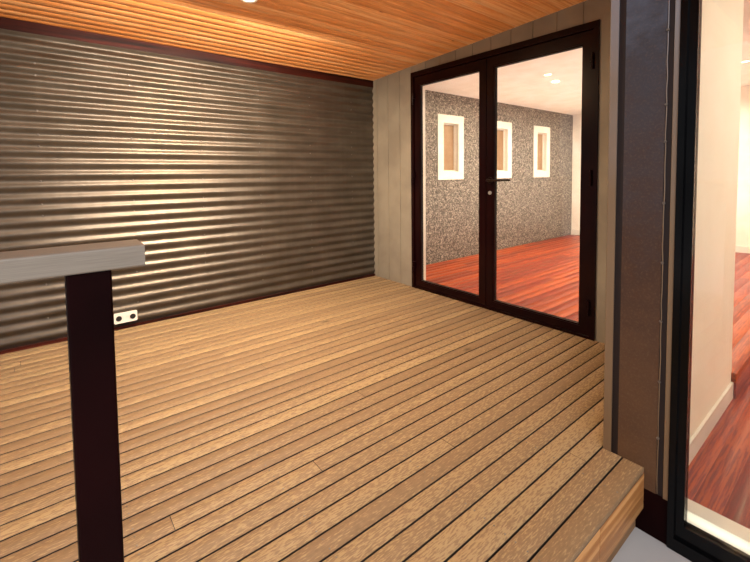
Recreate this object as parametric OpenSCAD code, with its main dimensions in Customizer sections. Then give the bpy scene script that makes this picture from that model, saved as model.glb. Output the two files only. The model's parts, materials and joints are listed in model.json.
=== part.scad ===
// Container cabin with a covered deck: two modules side by side under one raked roof.
// The deck bay lies in front of a pair of glazed doors, behind a corrugated screen wall.
// X runs along the deck boards towards the doors, Y towards the back wall, Z up, in millimetres.

/* [Plan] */
// Length of the deck, from its open end to the door wall
deck_l = 3980; // [3000:10:5000]
// How far the wing stands ahead of the door wall
nib_l = 1070; // [900:10:1500]
// Length of the room behind the doors, to the outside of the end wall
room_l = 4610; // [4200:10:6000]
// Width of the deck bay, from the wing's wall to the back wall
bay_w = 2787; // [2500:1:3400]
// Outside width of the wing
wing_w = 2438; // [2200:1:3000]
// How far the deck runs out past the face of the wing's wall
deck_lip = 142; // [100:1:300]

/* [Levels] */
// Height of the deck above the ground
deck_z = 250; // [220:1:400]
// How far the wing's floor lies below the deck
wing_drop = 140; // [100:1:160]
// Height of the deck ceiling at the back wall
head_h = 2105; // [2100:1:2600]
// Fall of the roof towards the back wall, in degrees
roof_pitch = 2.9; // [2:0.1:6]

/* [Deck] */
// Thickness of the decking
board_t = 22; // [18:1:32]
// Width of a joist
joist_w = 45; // [35:1:65]
// Spacing of the joists
joist_pitch = 450; // [350:10:600]
// Side of a bearer
bearer_w = 90; // [70:1:120]
// Height of the bearers under the joists
bearer_h = 85; // [60:1:100]
// Height of the fascia board
fascia_h = 140; // [120:1:200]
// Thickness of the fascia board
fascia_t = 25; // [18:1:40]

/* [Walls] */
// Depth of the stud frame in the outer walls
stud_d = 90; // [70:1:140]
// Depth of the wing's inner wall
nib_t = 180; // [150:1:200]
// Depth of the post at that wall's end
nib_post = 220; // [200:1:260]
// Pitch of the round corrugation
wave_pitch = 76.2; // [60:0.1:100]
// Depth of the round corrugation
wave_d = 16; // [10:1:22]
// Thickness of the corrugated sheet
sheet_t = 0.8; // [0.6:0.1:1.2]
// Clear space left for a sheet on the studs
skin_d = 17.5; // [17.5:0.5:24]
// Height of the outer sheets' lower edge above the ground
sheet_foot = 20; // [10:1:60]
// Leg of the angles that cover the outer corners
angle_w = 60; // [40:1:90]
// Thickness of the folded strips and angles
fold_t = 2; // [1:0.5:3]
// Pitch of the grooves in the cladding
groove_pitch = 178; // [120:1:220]
// Distance from the back wall to the first groove
groove_first = 57; // [30:1:120]
// Width of a groove
groove_w = 6; // [4:1:10]
// Depth of a groove
groove_d = 5; // [3:1:8]
// Height of the dark beam over the screen wall
beam_h = 72; // [50:1:120]
// Height of the dark plinth under the screen wall
plinth_h = 20; // [15:1:120]
// Thickness of the board that closes the screen wall's open end
end_board = 18; // [12:1:25]
// Depth of the beam over the open side of the room
room_beam_h = 180; // [120:1:240]

/* [Doors] */
// Width of the door frame
frame_w = 1714; // [1500:2:2000]
// Height of the door frame above the deck
frame_h = 2070; // [2000:1:2090]
// Wall left between the back wall and the door frame
door_side = 585; // [400:1:700]
// Face width of the frame's jambs
jamb_w = 35; // [25:1:50]
// Face height of the frame's head
frame_head = 45; // [30:1:60]
// Height of the sill
sill_h = 15; // [10:1:30]
// How far the frame stands out from the wall
frame_proud = 12; // [8:1:25]
// Depth of the frame
frame_d = 110; // [90:1:130]
// Thickness of a leaf
leaf_t = 44; // [36:1:54]
// Width of a leaf's stiles
stile_w = 70; // [55:1:90]
// Height of a leaf's top rail
top_rail = 85; // [60:1:110]
// Height of a leaf's bottom rail
bottom_rail = 62; // [55:1:120]
// Gap round a leaf
leaf_gap = 5; // [5:0.5:8]
// Gap between the two leaves
meet_gap = 8; // [8:0.5:12]
// Thickness of the glass
glass_t = 8; // [5:1:12]
// Depth of the glass behind the leaf's face
glass_in = 22; // [14:1:26]
// How far the glass reaches into its frame
glass_edge = 8; // [5:1:12]
// Width of the bead round the glass
bead_w = 10; // [6:1:16]
// Depth of the step at the bead
bead_d = 5; // [3:1:8]
// Width of the stop behind the leaves
stop_w = 15; // [12:1:25]
// Height of the lever handle above the deck
lever_h = 1050; // [950:1:1100]
// Length of the lever
lever_l = 118; // [90:1:140]
// Radius of the lever
lever_r = 8; // [6:0.5:10]
// How far the lever stands out from the leaf
lever_out = 45; // [40:1:60]
// Radius of the rose under the lever
rose_r = 24; // [20:1:28]
// Radius of the lock barrel
lock_r = 15; // [12:1:18]
// Distance from the lever down to the lock
lock_drop = 100; // [80:1:120]
// Radius of a hinge knuckle
knuckle_r = 7; // [6:0.5:9]
// Length of a hinge knuckle
knuckle_l = 50; // [40:1:70]
// Gap between the two halves of a hinge
knuckle_gap = 0.4; // [0.3:0.1:0.8]
// Length of the arm from a knuckle to the leaf's face
flap_w = 18; // [14:1:26]
// Height of the lowest hinge above the leaf's foot
hinge_low = 140; // [100:5:250]
// Distance from the highest hinge down from the leaf's top
hinge_high = 250; // [200:5:350]

/* [Windows] */
// Width of a window's opening
win_w = 310; // [250:1:400]
// Height of a window's opening
win_h = 630; // [500:1:700]
// Height of the opening's foot above the deck
win_sill = 1120; // [1000:1:1200]
// Distance between the middles of neighbouring windows
win_pitch = 1100; // [900:1:1200]
// Distance from the door wall to the middle of the first window
win_first = 1250; // [900:1:1300]
// Width of the board round a window on the inside
win_board = 90; // [60:1:110]
// Width of the flange round a window on the outside
win_flange = 50; // [30:1:60]
// Thickness of the window's lining
win_lining = 12; // [9:1:18]
// Face width of the window's sash
sash_w = 14; // [12:1:30]
// Depth of the window's sash
sash_d = 40; // [30:1:60]
// How far the window's boards stand out from the walls
win_proud = 12; // [4:1:18]

/* [Wing front] */
// Width of the dark sheet on the wing's corner
pier_sheet_w = 130; // [100:1:140]
// Face width of the glazed screen's black frame
screen_w = 20; // [20:1:45]
// Face width of a glazed panel's stile
panel_w = 27; // [25:1:50]
// Depth of the glazed screen's frame
screen_d = 90; // [70:1:110]
// How far the screen's frame stands out from the wall
screen_proud = 8; // [4:1:20]
// Height of the screen's bottom track above the ground
track_h = 45; // [30:1:80]
// Thickness of a glazed panel
panel_t = 40; // [34:1:50]
// Distance from the wall's face to a panel's face
panel_in = 5; // [2:1:12]
// Width of the cream strip on the wing's corner
corner_w = 26; // [20:1:40]
// Gap between that strip and the dark sheet
corner_gap = 24; // [4:1:30]
// Width of the cream strip beside the black frame
edge_strip = 17; // [12:1:30]
// Thickness of the cream strips
strip_t = 4; // [2:1:8]
// Height of the dark sheet's foot above the ground
pier_foot = 170; // [120:1:220]
// How far the pale sill laps over the wing's floor
sill_lap = 30; // [15:1:50]
// Thickness of the pale sill's lap
sill_t = 6; // [4:1:10]
// Number of glazed panels
panels = 3; // [2:1:4]

/* [Roof] */
// How far the roof runs out past the walls
eave = 180; // [100:10:300]
// Depth of the rafters
rafter_d = 120; // [90:1:180]
// Width of a rafter
rafter_w = 45; // [35:1:65]
// Spacing of the rafters
rafter_pitch = 600; // [450:10:900]
// Thickness of the ceiling lining
lining_t = 12; // [9:1:18]
// Height of a rib in the roof sheet
rib_h = 28; // [20:1:40]
// Pitch of the roof ribs
rib_pitch = 190; // [150:1:250]
// Thickness of the roof's edge boards
edge_t = 25; // [18:1:35]
// Thickness of the roof sheet
roof_t = 1; // [0.8:0.1:1.2]
// Half of a rib's width at its foot
rib_foot = 30; // [24:1:36]
// Half of a rib's width at its top
rib_top = 12; // [8:1:16]
// Width of the capping over the roof's edges
cap_w = 95; // [60:5:140]
// How far the capping hangs down over the edge boards
cap_drop = 45; // [30:5:80]
// Width of the gutter
gutter_w = 115; // [90:5:140]
// Height of the gutter
gutter_h = 90; // [70:5:110]
// How far the roof sheet reaches over the gutter
gutter_over = 50; // [30:5:60]
// Radius of the downpipe
pipe_r = 38; // [30:1:45]
// Distance from the end wall to the downpipe
pipe_in = 150; // [100:10:400]

/* [Rail and posts] */
// Height of the handrail above the deck
rail_h = 1025; // [950:1:1100]
// Width of the handrail
rail_w = 60; // [45:1:80]
// Thickness of the handrail
rail_t = 27; // [20:1:40]
// Side of a rail post
post_w = 45; // [40:1:65]
// Radius of the corners of the rail and its posts
tube_r = 3; // [2:0.5:5]
// Side of the plate under a post
plate_w = 100; // [80:1:120]
// Thickness of that plate
plate_t = 6; // [5:1:10]
// Length of the front handrail
rail_l = 1295; // [900:5:1500]
// How far the handrail runs past its end post
rail_over = 35; // [20:1:60]
// Distance from the deck's edge to the handrail
rail_in = 50; // [30:1:80]
// Side of the corner post that carries the roof
roof_post = 90; // [75:1:120]
// Depth of the beam over the deck's open side
front_beam_h = 140; // [120:1:200]

/* [Fittings] */
// Radius of a ceiling light's ring
light_r = 52; // [48:1:70]
// Radius of the light's body in the lining
light_body = 42; // [34:1:44]
// How far the ring stands out from the ceiling
light_proud = 4; // [3:1:8]
// Distance from the door wall to the deck's light
light_x = 1790; // [600:10:2600]
// Distance from the back wall to the deck's light
light_y = 1053; // [600:10:2000]
// Distance from the door wall to the room's light
room_light_x = 1512; // [600:1:3500]
// Distance from the back wall to the room's light
room_light_y = 1140; // [600:10:2000]
// Distance from the door wall to the wing's light
wing_light_x = 2930; // [600:10:3800]
// Distance from the back wall to the wing's light
wing_light_y = 2514; // [500:1:2600]
// Width of the outlet on the screen wall
outlet_w = 146; // [110:1:160]
// Height of the outlet
outlet_h = 76; // [70:1:90]
// Depth of the outlet's box
outlet_d = 30; // [20:1:40]
// Distance from the door wall to the middle of the outlet
outlet_x = 2355; // [1500:5:2800]
// Height of the outlet's middle above the deck
outlet_z = 90; // [70:1:300]

/* [Hidden] */
$fn = 48;

// Clearance of a sheet or ring from what it lies on, and of one bedded face from another
fit = 0.3;
seat = 0.1;

// Small sizes: pin offset, bevel, roses, outlet plate and its parts, pipe arms
pin_off = 1;
bevel = 2;
rose_t = 7;
lock_t = 9;
plate_d = 8;
plate_r = 9;
socket_r = 19;
recess_d = 4;
switch_w = 14;
switch_h = 22;
arm_w = 24;
arm_t = 4;

// Overall box of the walls, centred on the origin
total_l = deck_l + room_l;
back_t = 2 * skin_d + stud_d;
total_w = wing_w + bay_w + back_t;
x_left = -total_l / 2;
x_right = total_l / 2;
x_door = x_left + deck_l;
x_nib = x_door - nib_l;
y_low = -total_w / 2;
y_high = total_w / 2;
y_nib = y_low + wing_w;
y_back = y_nib + bay_w;
y_lip = y_nib - deck_lip;
y_wing = y_nib - nib_t;
wall_t = skin_d + stud_d + lining_t;
wing_z = deck_z - wing_drop;
x_room0 = x_door + wall_t;
x_room1 = x_right - wall_t;
board_z = deck_z - board_t;

// Height of the underside of the ceiling at a given y, and of the layers over it
rake = tan(roof_pitch);
function ceil_z(y) = deck_z + head_h + (y_back - y) * rake;
function roof_z(y) = ceil_z(y) + lining_t + rafter_d;
cap_lift = lining_t + rafter_d + rib_h + roof_t + 2 * fit;

// Face of the screen sheet's crests, for what is fixed on it
y_crest = y_back + skin_d - fit - wave_d - sheet_t;

// Outer edges of the roof
ex_left = x_left - eave;
ex_nib = x_nib - eave;
ex_right = x_right + eave;
ey_deck = y_lip - eave;
ey_low = y_low - eave;
ey_high = y_high + eave;
y_gutter = ey_high - gutter_w;
board_in = fold_t + edge_t;

// Door opening and leaves
y_door1 = y_back - door_side;
y_door0 = y_door1 - frame_w;
leaf_z0 = deck_z + sill_h + leaf_gap;
leaf_z1 = deck_z + frame_h - frame_head - leaf_gap;
leaf_w = (frame_w - 2 * jamb_w - 2 * leaf_gap - meet_gap) / 2;
right0 = y_door0 + jamb_w + leaf_gap;
left1 = y_door1 - jamb_w - leaf_gap;
pin_x = x_door - frame_proud - knuckle_r - pin_off;
pin_y_right = y_door0 + jamb_w;
pin_y_left = y_door1 - jamb_w;
hinge_z = [leaf_z0 + hinge_low, (leaf_z0 + leaf_z1) / 2, leaf_z1 - hinge_high];

// Black glazed screen in the wing's front
y_scr1 = y_nib - nib_post;
y_scr0 = y_low + nib_post;
x_scr0 = x_nib - screen_proud;
x_scr1 = x_scr0 + screen_d;
scr_z1 = deck_z + frame_h;
panel_y0 = y_scr0 + screen_w;
panel_l = (y_scr1 - y_scr0 - 2 * screen_w) / panels;

// A box between two corners
module box(x0, x1, y0, y1, z0, z1) {
  translate([x0, y0, z0]) cube([x1 - x0, y1 - y0, z1 - z0]);
}

// The stretch from a to b, measured from c on the side that way gives, which is -1 or 1
function span(c, way, a, b) = [min(c + way * a, c + way * b), max(c + way * a, c + way * b)];

// A rectangle round the origin with rounded corners
module rounded(w, h, r) {
  square([w - 2 * r, h], center = true);
  square([w, h - 2 * r], center = true);
  for (i = [-1, 1], j = [-1, 1]) translate([i * (w / 2 - r), j * (h / 2 - r)]) circle(r);
}

// An outline in the YZ plane, drawn out along X
module along_x(x0, x1, pts) {
  translate([x0, 0, 0]) rotate([90, 0, 90]) linear_extrude(x1 - x0) polygon(pts);
}

// An outline in the XZ plane, drawn out along Y
module along_y(y0, y1, pts) {
  translate([0, y1, 0]) rotate([90, 0, 0]) linear_extrude(y1 - y0) polygon(pts);
}

// A slab from z0 up to the raked ceiling
module raked(x0, x1, y0, y1, z0) {
  along_x(x0, x1, [[y0, z0], [y1, z0], [y1, ceil_z(y1) - seat], [y0, ceil_z(y0) - seat]]);
}

// A layer that follows the rake, lift above the ceiling's underside
module layer(x0, x1, y0, y1, lift, t) {
  along_x(x0, x1, [[y0, ceil_z(y0) + lift], [y1, ceil_z(y1) + lift],
                   [y1, ceil_z(y1) + lift + t], [y0, ceil_z(y0) + lift + t]]);
}

// Round corrugation between two heights: points [offset, z] of one thin sheet
wave_steps = 6;
function wave(z0, z1) = let (n = ceil((z1 - z0) / wave_pitch * wave_steps))
  [for (i = [0:n]) let (z = min(z0 + i * wave_pitch / wave_steps, z1))
    [wave_d / 2 * (1 - cos(360 * (z - z0) / wave_pitch)), z]];
function outline(pts, t) = concat(pts, [for (i = [len(pts) - 1:-1:0]) [pts[i][0] + t, pts[i][1]]]);

// A corrugated sheet on the face at foot, bulging towards out, which is -1 or 1
module sheet_x(x0, x1, foot, out, z0, z1) {
  along_x(x0, x1, [for (p = outline(wave(z0, z1), sheet_t)) [foot + out * (fit + p[0]), p[1]]]);
}

module sheet_y(y0, y1, foot, out, z0, z1) {
  along_y(y0, y1, [for (p = outline(wave(z0, z1), sheet_t)) [foot + out * (fit + p[0]), p[1]]]);
}

// Floor timbers: joists side by side from the one numbered first, and bearers under them
module joists(x0, x1, y0, y1, z0, z1, first = 0) {
  n = ceil((x1 - x0 - joist_w) / joist_pitch);
  step = (x1 - x0 - joist_w) / n;
  for (i = [first:n]) box(x0 + i * step, x0 + i * step + joist_w, y0, y1, z0, z1);
}

module bearers(x0, x1, y0, y1, count) {
  step = (y1 - y0 - bearer_w) / (count - 1);
  for (i = [0:count - 1]) box(x0, x1, y0 + i * step, y0 + i * step + bearer_w, 0, bearer_h);
}

module deck_frame() {
  x0 = x_left + fascia_t;
  y0 = y_lip + fascia_t;
  color("saddlebrown") {
    box(x0, x_nib, y0, y0 + bearer_w, 0, bearer_h);
    bearers(x0, x_door, y_nib + joist_w, y_back, 3);
    joists(x0, x_nib, y0, y_back, bearer_h + fit, board_z);
    joists(x_nib, x_door, y_nib, y_back, bearer_h + fit, board_z, 1);
  }
}

module deck_boards() {
  color("tan") {
    box(x_left, x_nib, y_lip, y_back, board_z, deck_z);
    box(x_nib, x_door, y_nib, y_back, board_z, deck_z);
  }
}

module deck_fascia() {
  color("burlywood") {
    z0 = board_z - fascia_h;
    box(x_left, x_nib, y_lip, y_lip + fascia_t, z0, board_z);
    box(x_left, x_left + fascia_t, y_lip, y_back, z0, board_z);
  }
}

// Frames under both inner floors, and the beam that carries the door's sill
module floor_frame() {
  color("dimgray") {
    bearers(x_room0 + fit, x_room1, y_wing, y_back, 4);
    joists(x_room0 + fit, x_room1, y_wing, y_back, bearer_h + fit, board_z);
    joists(x_nib + wall_t, x_room1, y_low + wall_t, y_wing - fit, 0, wing_z - board_t);
    box(x_door, x_room0, y_door0, y_door1, 0, deck_z);
  }
}

// The room's floor, the wing's lower floor and the riser between them
module room_floor() {
  color("firebrick") {
    box(x_room0, x_room1, y_wing - board_t, y_back, board_z, deck_z);
    box(x_room0, x_room1, y_wing - board_t, y_wing, wing_z - board_t, board_z);
    box(x_nib + wall_t, x_room1, y_low + wall_t, y_wing, wing_z - board_t, wing_z);
  }
}

module screen_wall() {
  color("dimgray") raked(x_left + end_board, x_door, y_back + skin_d, y_high - skin_d, 0);
}

module screen_sheet() {
  color("gray")
    sheet_x(x_left + end_board + fit, x_door - fit, y_back + skin_d, -1, deck_z + plinth_h + fit,
            ceil_z(y_back) - beam_h - fit);
}

// Dark boards over and under the corrugated sheet, and at the screen wall's open end
module screen_trim() {
  z = ceil_z(y_back) - beam_h;
  y1 = y_back + skin_d;
  color("maroon") {
    along_x(x_left, x_door, [[y_back, z], [y1, z], [y1, ceil_z(y1) - seat], [y_back, z + beam_h - seat]]);
    box(x_left, x_door, y_back, y1, 0, deck_z + plinth_h);
    raked(x_left, x_left + end_board, y_back, y_high, 0);
  }
}

// A twin outlet: a box, a face plate with two round recesses, and two switches
module screen_outlet() {
  z = outlet_d - plate_d;
  at = [x_door - outlet_x, y_crest - fit, deck_z + outlet_z];
  color("white") translate(at) rotate([90, 0, 0]) {
    linear_extrude(z) rounded(outlet_w - switch_w, outlet_h - switch_w, plate_r - bevel);
    difference() {
      translate([0, 0, z]) linear_extrude(plate_d) rounded(outlet_w, outlet_h, plate_r);
      for (i = [-1, 1])
        translate([i * 0.3 * outlet_w, -bevel, outlet_d - recess_d]) cylinder(r = socket_r, h = plate_d);
    }
    for (i = [-1, 1])
      translate([i * 0.85 * switch_w, switch_w, outlet_d]) linear_extrude(recess_d)
        rounded(switch_w, switch_h, bevel);
  }
}

// Middles of the windows along X, the same in both long walls
win_x = [for (i = [0:2]) x_door + win_first + i * win_pitch];
win_z0 = deck_z + win_sill;

// A box through each window, grown on all four sides of the opening
module window_boxes(y0, y1, grow) {
  for (x = win_x)
    box(x - win_w / 2 - grow, x + win_w / 2 + grow, y0, y1, win_z0 - grow, win_z0 + win_h + grow);
}

// A ring round each window, between two sizes
module window_rings(y0, y1, outer, inner) {
  difference() {
    window_boxes(y0, y1, outer);
    window_boxes(y0 - 1, y1 + 1, inner);
  }
}

module back_wall() {
  color("whitesmoke") difference() {
    raked(x_door, x_right - skin_d, y_back + skin_d, y_high - skin_d, 0);
    window_boxes(y_back, y_high, 0);
  }
}

module back_lining() {
  color("dimgray") difference() {
    raked(x_room0, x_room1, y_back, y_back + skin_d, board_z);
    window_boxes(y_back - 1, y_high, 0);
  }
}

module back_sheet() {
  x0 = x_left + end_board + fit;
  x1 = x_right - skin_d;
  y0 = y_high - skin_d;
  color("gray") difference() {
    intersection() {
      sheet_x(x0, x1, y0, 1, sheet_foot, ceil_z(y0));
      raked(x0, x1, y0, y_high, 0);
    }
    window_boxes(y0 - 1, y_high + 1, fit);
  }
}

// Windows through one wall: lining from y0 to y1, sash in the middle, boards on both faces
module window_row(y0, y1, inside) {
  ym = (y0 + y1) / 2;
  window_rings(y0, y1, 0, -win_lining);
  window_rings(ym - sash_d / 2, ym + sash_d / 2, 0, -win_lining - sash_w);
  window_rings(inside, inside + win_proud, win_board, -win_lining);
}

module window_frames() {
  color("ivory") {
    window_row(y_back, y_high + fold_t, y_back - win_proud);
    window_rings(y_high, y_high + fold_t, win_flange, -win_lining);
    window_row(y_low - fold_t, y_low + wall_t, y_low + wall_t);
    window_rings(y_low - fold_t, y_low, win_flange, -win_lining);
  }
}

module window_glass() {
  color("lightblue", 0.5) {
    window_boxes((y_back + y_high + fold_t - glass_t) / 2, (y_back + y_high + fold_t + glass_t) / 2,
                 -win_lining - sash_w);
    window_boxes((2 * y_low + wall_t - fold_t - glass_t) / 2, (2 * y_low + wall_t - fold_t + glass_t) / 2,
                 -win_lining - sash_w);
  }
}

// Upright grooves cut in a face that looks along -X
module grooves(y0, y1, z0, z1) {
  n = floor((y_back - groove_first - y0) / groove_pitch);
  for (i = [0:n]) let (y = y_back - groove_first - i * groove_pitch)
    if (y < y1) box(x_door - 1, x_door + groove_d, max(y - groove_w, y0), y, z0, z1);
}

module door_wall_part(y0, y1, z0) {
  difference() {
    raked(x_door, x_room0, y0, y1, z0);
    grooves(y0, y1, z0 - 1, ceil_z(y0) + 1);
  }
}

module door_wall_left() {
  color("wheat") door_wall_part(y_door1, y_back + skin_d, 0);
}

module door_wall_right() {
  color("wheat") door_wall_part(y_nib, y_door0, 0);
}

module door_wall_head() {
  color("wheat") door_wall_part(y_door0, y_door1, deck_z + frame_h);
}

// The frame's half of three hinges: a knuckle and the block that joins it to the jamb
module frame_knuckles(y, side) {
  for (z = hinge_z) {
    translate([pin_x, y, z]) cylinder(r = knuckle_r, h = knuckle_l);
    ys = span(y, side, 0, knuckle_r);
    box(pin_x, x_door - frame_proud, ys[0], ys[1], z, z + knuckle_l);
  }
}

// The leaf's half of three hinges: a knuckle and the arm that joins it to the leaf
module leaf_knuckles(y, side) {
  for (z = hinge_z) {
    z0 = z + knuckle_l + knuckle_gap;
    translate([pin_x, y, z0]) cylinder(r = knuckle_r, h = knuckle_l);
    ys = span(y, side, leaf_gap / 2, flap_w);
    box(pin_x, x_door, ys[0], ys[1], z0, z0 + knuckle_l);
  }
}

module door_frame() {
  x0 = x_door - frame_proud;
  x1 = x0 + frame_d;
  stop = x_door + leaf_t + leaf_gap;
  z1 = deck_z + frame_h;
  color("#241a17") {
    difference() {
      box(x0, x1, y_door0, y_door1, deck_z, z1);
      box(x0 - 1, x1 + 1, pin_y_right, pin_y_left, deck_z + sill_h, z1 - frame_head);
    }
    difference() {
      box(stop, x1, y_door0, y_door1, deck_z, z1);
      box(stop - 1, x1 + 1, pin_y_right + stop_w, pin_y_left - stop_w,
          deck_z + sill_h, z1 - frame_head - stop_w);
    }
    frame_knuckles(pin_y_right, -1);
    frame_knuckles(pin_y_left, 1);
  }
}

// The clear opening in a leaf between y0 and y1, grown on all four sides
module leaf_hole(y0, x0, x1, grow) {
  box(x0, x1, y0 + stile_w - grow, y0 + leaf_w - stile_w + grow,
      leaf_z0 + bottom_rail - grow, leaf_z1 - top_rail + grow);
}

// A leaf with its lower edge of y at y0: beads step in round the glass, which sits in a groove
module leaf(y0) {
  difference() {
    box(x_door, x_door + leaf_t, y0, y0 + leaf_w, leaf_z0, leaf_z1);
    leaf_hole(y0, x_door - 1, x_door + leaf_t + 1, 0);
    leaf_hole(y0, x_door - 1, x_door + bead_d, bead_w);
    leaf_hole(y0, x_door + glass_in, x_door + glass_in + glass_t, glass_edge);
  }
}

module leaf_glass(y0) {
  leaf_hole(y0, x_door + glass_in, x_door + glass_in + glass_t, glass_edge);
}

module right_leaf() {
  color("#2b1f1b") {
    leaf(right0);
    leaf_knuckles(pin_y_right, 1);
  }
}

module left_leaf() {
  color("#2b1f1b") {
    leaf(left1 - leaf_w);
    leaf_knuckles(pin_y_left, -1);
  }
}

module right_glass() {
  color("lightblue", 0.4) leaf_glass(right0);
}

module left_glass() {
  color("lightblue", 0.4) leaf_glass(left1 - leaf_w);
}

// A round plate with a bevelled rim, standing on the XY plane
module rose(r, h) {
  rotate_extrude() polygon([[0, 0], [r, 0], [r, h - bevel], [r - bevel, h], [0, h]]);
}

// A lever on its rose, with a lock barrel below; out is -1 on the deck side and 1 on the room side
module lever(x, out) {
  y = right0 + leaf_w - stile_w / 2;
  translate([x, y, deck_z + lever_h]) {
    rotate([0, out * 90, 0]) {
      rose(rose_r, rose_t);
      cylinder(r = lever_r, h = lever_out);
    }
    translate([out * lever_out, 0, 0]) {
      rotate([90, 0, 0]) cylinder(r = lever_r, h = lever_l);
      sphere(r = lever_r);
      translate([0, -lever_l, 0]) sphere(r = lever_r);
    }
    translate([0, 0, -lock_drop]) rotate([0, out * 90, 0]) rose(lock_r, lock_t);
  }
}

module door_handle() {
  color("silver") {
    lever(x_door, -1);
    lever(x_door + leaf_t, 1);
  }
}

// The wing's inner wall and, at its end, the deeper post beside the black frame
module nib_wall() {
  color("wheat") difference() {
    union() {
      raked(x_nib + fold_t, x_room0, y_wing, y_nib, 0);
      raked(x_nib + fold_t, x_scr1, y_scr1, y_nib, 0);
    }
    for (i = [1:floor((nib_l - angle_w) / groove_pitch)]) let (x = x_door - i * groove_pitch)
      box(x, x + groove_w, y_nib - groove_d, y_nib + 1, -1, ceil_z(y_low));
  }
}

y_post = y_lip + rail_in;
beam_z = ceil_z(y_post) - front_beam_h;

module pier_sheet() {
  y1 = y_nib - corner_w - corner_gap;
  color("#3a3438") raked(x_nib, x_nib + fold_t, y1 - pier_sheet_w, y1, pier_foot);
}

// Cream strips on the wing's corner and beside the black frame, and the dark plinth plate below
module pier_trim() {
  x1 = x_nib + fold_t;
  x0 = x1 - strip_t - fold_t;
  color("ivory") {
    box(x0, x1, y_nib - corner_w, y_nib, deck_z, beam_z - fit);
    box(x0, x1 + angle_w / 2, y_nib, y_nib + strip_t, deck_z, beam_z - fit);
    raked(x0, x1, y_scr1, y_scr1 + edge_strip, pier_foot);
    box(x_nib, x1, y_scr1, y_nib, 0, pier_foot - fit);
  }
}

module wing_front() {
  color("#3a3438") {
    raked(x_nib, x_nib + wall_t, y_low, y_scr0, 0);
    raked(x_nib, x_nib + wall_t, y_scr0, y_scr1, scr_z1);
  }
}

module glazed_frame() {
  color("black") difference() {
    box(x_scr0, x_scr1, y_scr0, y_scr1, 0, scr_z1);
    box(x_scr0 - 1, x_scr1 + 1, y_scr0 + screen_w, y_scr1 - screen_w, track_h, scr_z1 - screen_w);
  }
}

// The clear opening of a glazed panel that starts at y, grown on all four sides
module panel_hole(y, x0, x1, grow) {
  box(x0, x1, y + panel_w - grow, y + panel_l - panel_w + grow,
      track_h + 2 * panel_w - grow, scr_z1 - screen_w - panel_w + grow);
}

module glazed_panels() {
  x0 = x_nib + panel_in;
  x1 = x0 + panel_t;
  xg = (x0 + x1 - glass_t) / 2;
  color("black") difference() {
    box(x0, x1, panel_y0, y_scr1 - screen_w, track_h, scr_z1 - screen_w);
    for (i = [0:panels - 1]) let (y = panel_y0 + i * panel_l) {
      panel_hole(y, x0 - 1, x1 + 1, 0);
      panel_hole(y, xg, xg + glass_t, glass_edge);
    }
  }
}

module panel_glass() {
  xg = x_nib + panel_in + (panel_t - glass_t) / 2;
  color("lightblue", 0.4) for (i = [0:panels - 1])
    panel_hole(panel_y0 + i * panel_l, xg, xg + glass_t, glass_edge);
}

// Pale sill between the black frame and the wing's floor
module inner_sill() {
  x1 = x_nib + wall_t;
  color("ivory") {
    box(x_scr1, x1, y_scr0, y_wing, 0, wing_z);
    box(x_scr1, x1 + sill_lap, y_scr0, y_wing, wing_z, wing_z + sill_t);
  }
}

module wing_side_wall() {
  color("whitesmoke") difference() {
    raked(x_nib + wall_t, x_right - skin_d, y_low + skin_d, y_low + wall_t, 0);
    window_boxes(y_low, y_low + wall_t + 1, 0);
  }
}

module wing_sheet() {
  x0 = x_nib + wall_t;
  x1 = x_right - skin_d;
  y1 = y_low + skin_d;
  color("gray") difference() {
    intersection() {
      sheet_x(x0, x1, y1, -1, sheet_foot, ceil_z(y_low));
      raked(x0, x1, y_low, y1, 0);
    }
    window_boxes(y_low - 1, y1 + 1, fit);
  }
}

module end_wall() {
  color("whitesmoke") raked(x_room1, x_right - skin_d, y_low + wall_t, y_back + skin_d, 0);
}

// An upright angle over the outer corner at y, where way is -1 on the low side and 1 on the high side
module corner_angle(y, way) {
  face = span(y, way, 0, fold_t);
  leg = span(y, way, -angle_w, fold_t);
  raked(x_right - angle_w, x_right + fold_t, face[0], face[1], sheet_foot);
  raked(x_right, x_right + fold_t, leg[0], leg[1], sheet_foot);
}

module end_sheet() {
  color("gray") {
    intersection() {
      sheet_y(y_low + skin_d, y_high - skin_d, x_right - skin_d, 1, sheet_foot, ceil_z(y_low));
      raked(x_room1, x_right, y_low, y_high, 0);
    }
    corner_angle(y_high, 1);
    corner_angle(y_low, -1);
  }
}

module room_beam() {
  z0 = ceil_z(y_nib) - room_beam_h;
  color("whitesmoke") raked(x_room0, x_room1, y_wing, y_nib, z0);
}

// Downlights: one over the deck, two in the room
lights = [[x_door - light_x, y_back - light_y], [x_door + room_light_x, y_back - room_light_y],
          [x_door + wing_light_x, y_back - wing_light_y]];

// Places children on the raked ceiling, with +Z square to it
module on_ceiling(at) {
  translate([at[0], at[1], ceil_z(at[1])]) rotate([-roof_pitch, 0, 0]) children();
}

module light_holes() {
  for (at = lights) on_ceiling(at)
    translate([0, 0, -light_proud]) cylinder(r = light_body + fit, h = 2 * lining_t);
}

module deck_ceiling() {
  color("sandybrown") difference() {
    union() {
      layer(ex_left + board_in, x_nib, ey_deck + board_in, y_high, 0, lining_t);
      layer(x_nib, x_door, y_nib, y_high, 0, lining_t);
    }
    light_holes();
  }
}

module room_ceiling() {
  color("white") difference() {
    union() {
      layer(x_door, x_right, y_nib, y_high, 0, lining_t);
      layer(x_nib, x_right, y_low, y_nib, 0, lining_t);
    }
    light_holes();
  }
}

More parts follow.
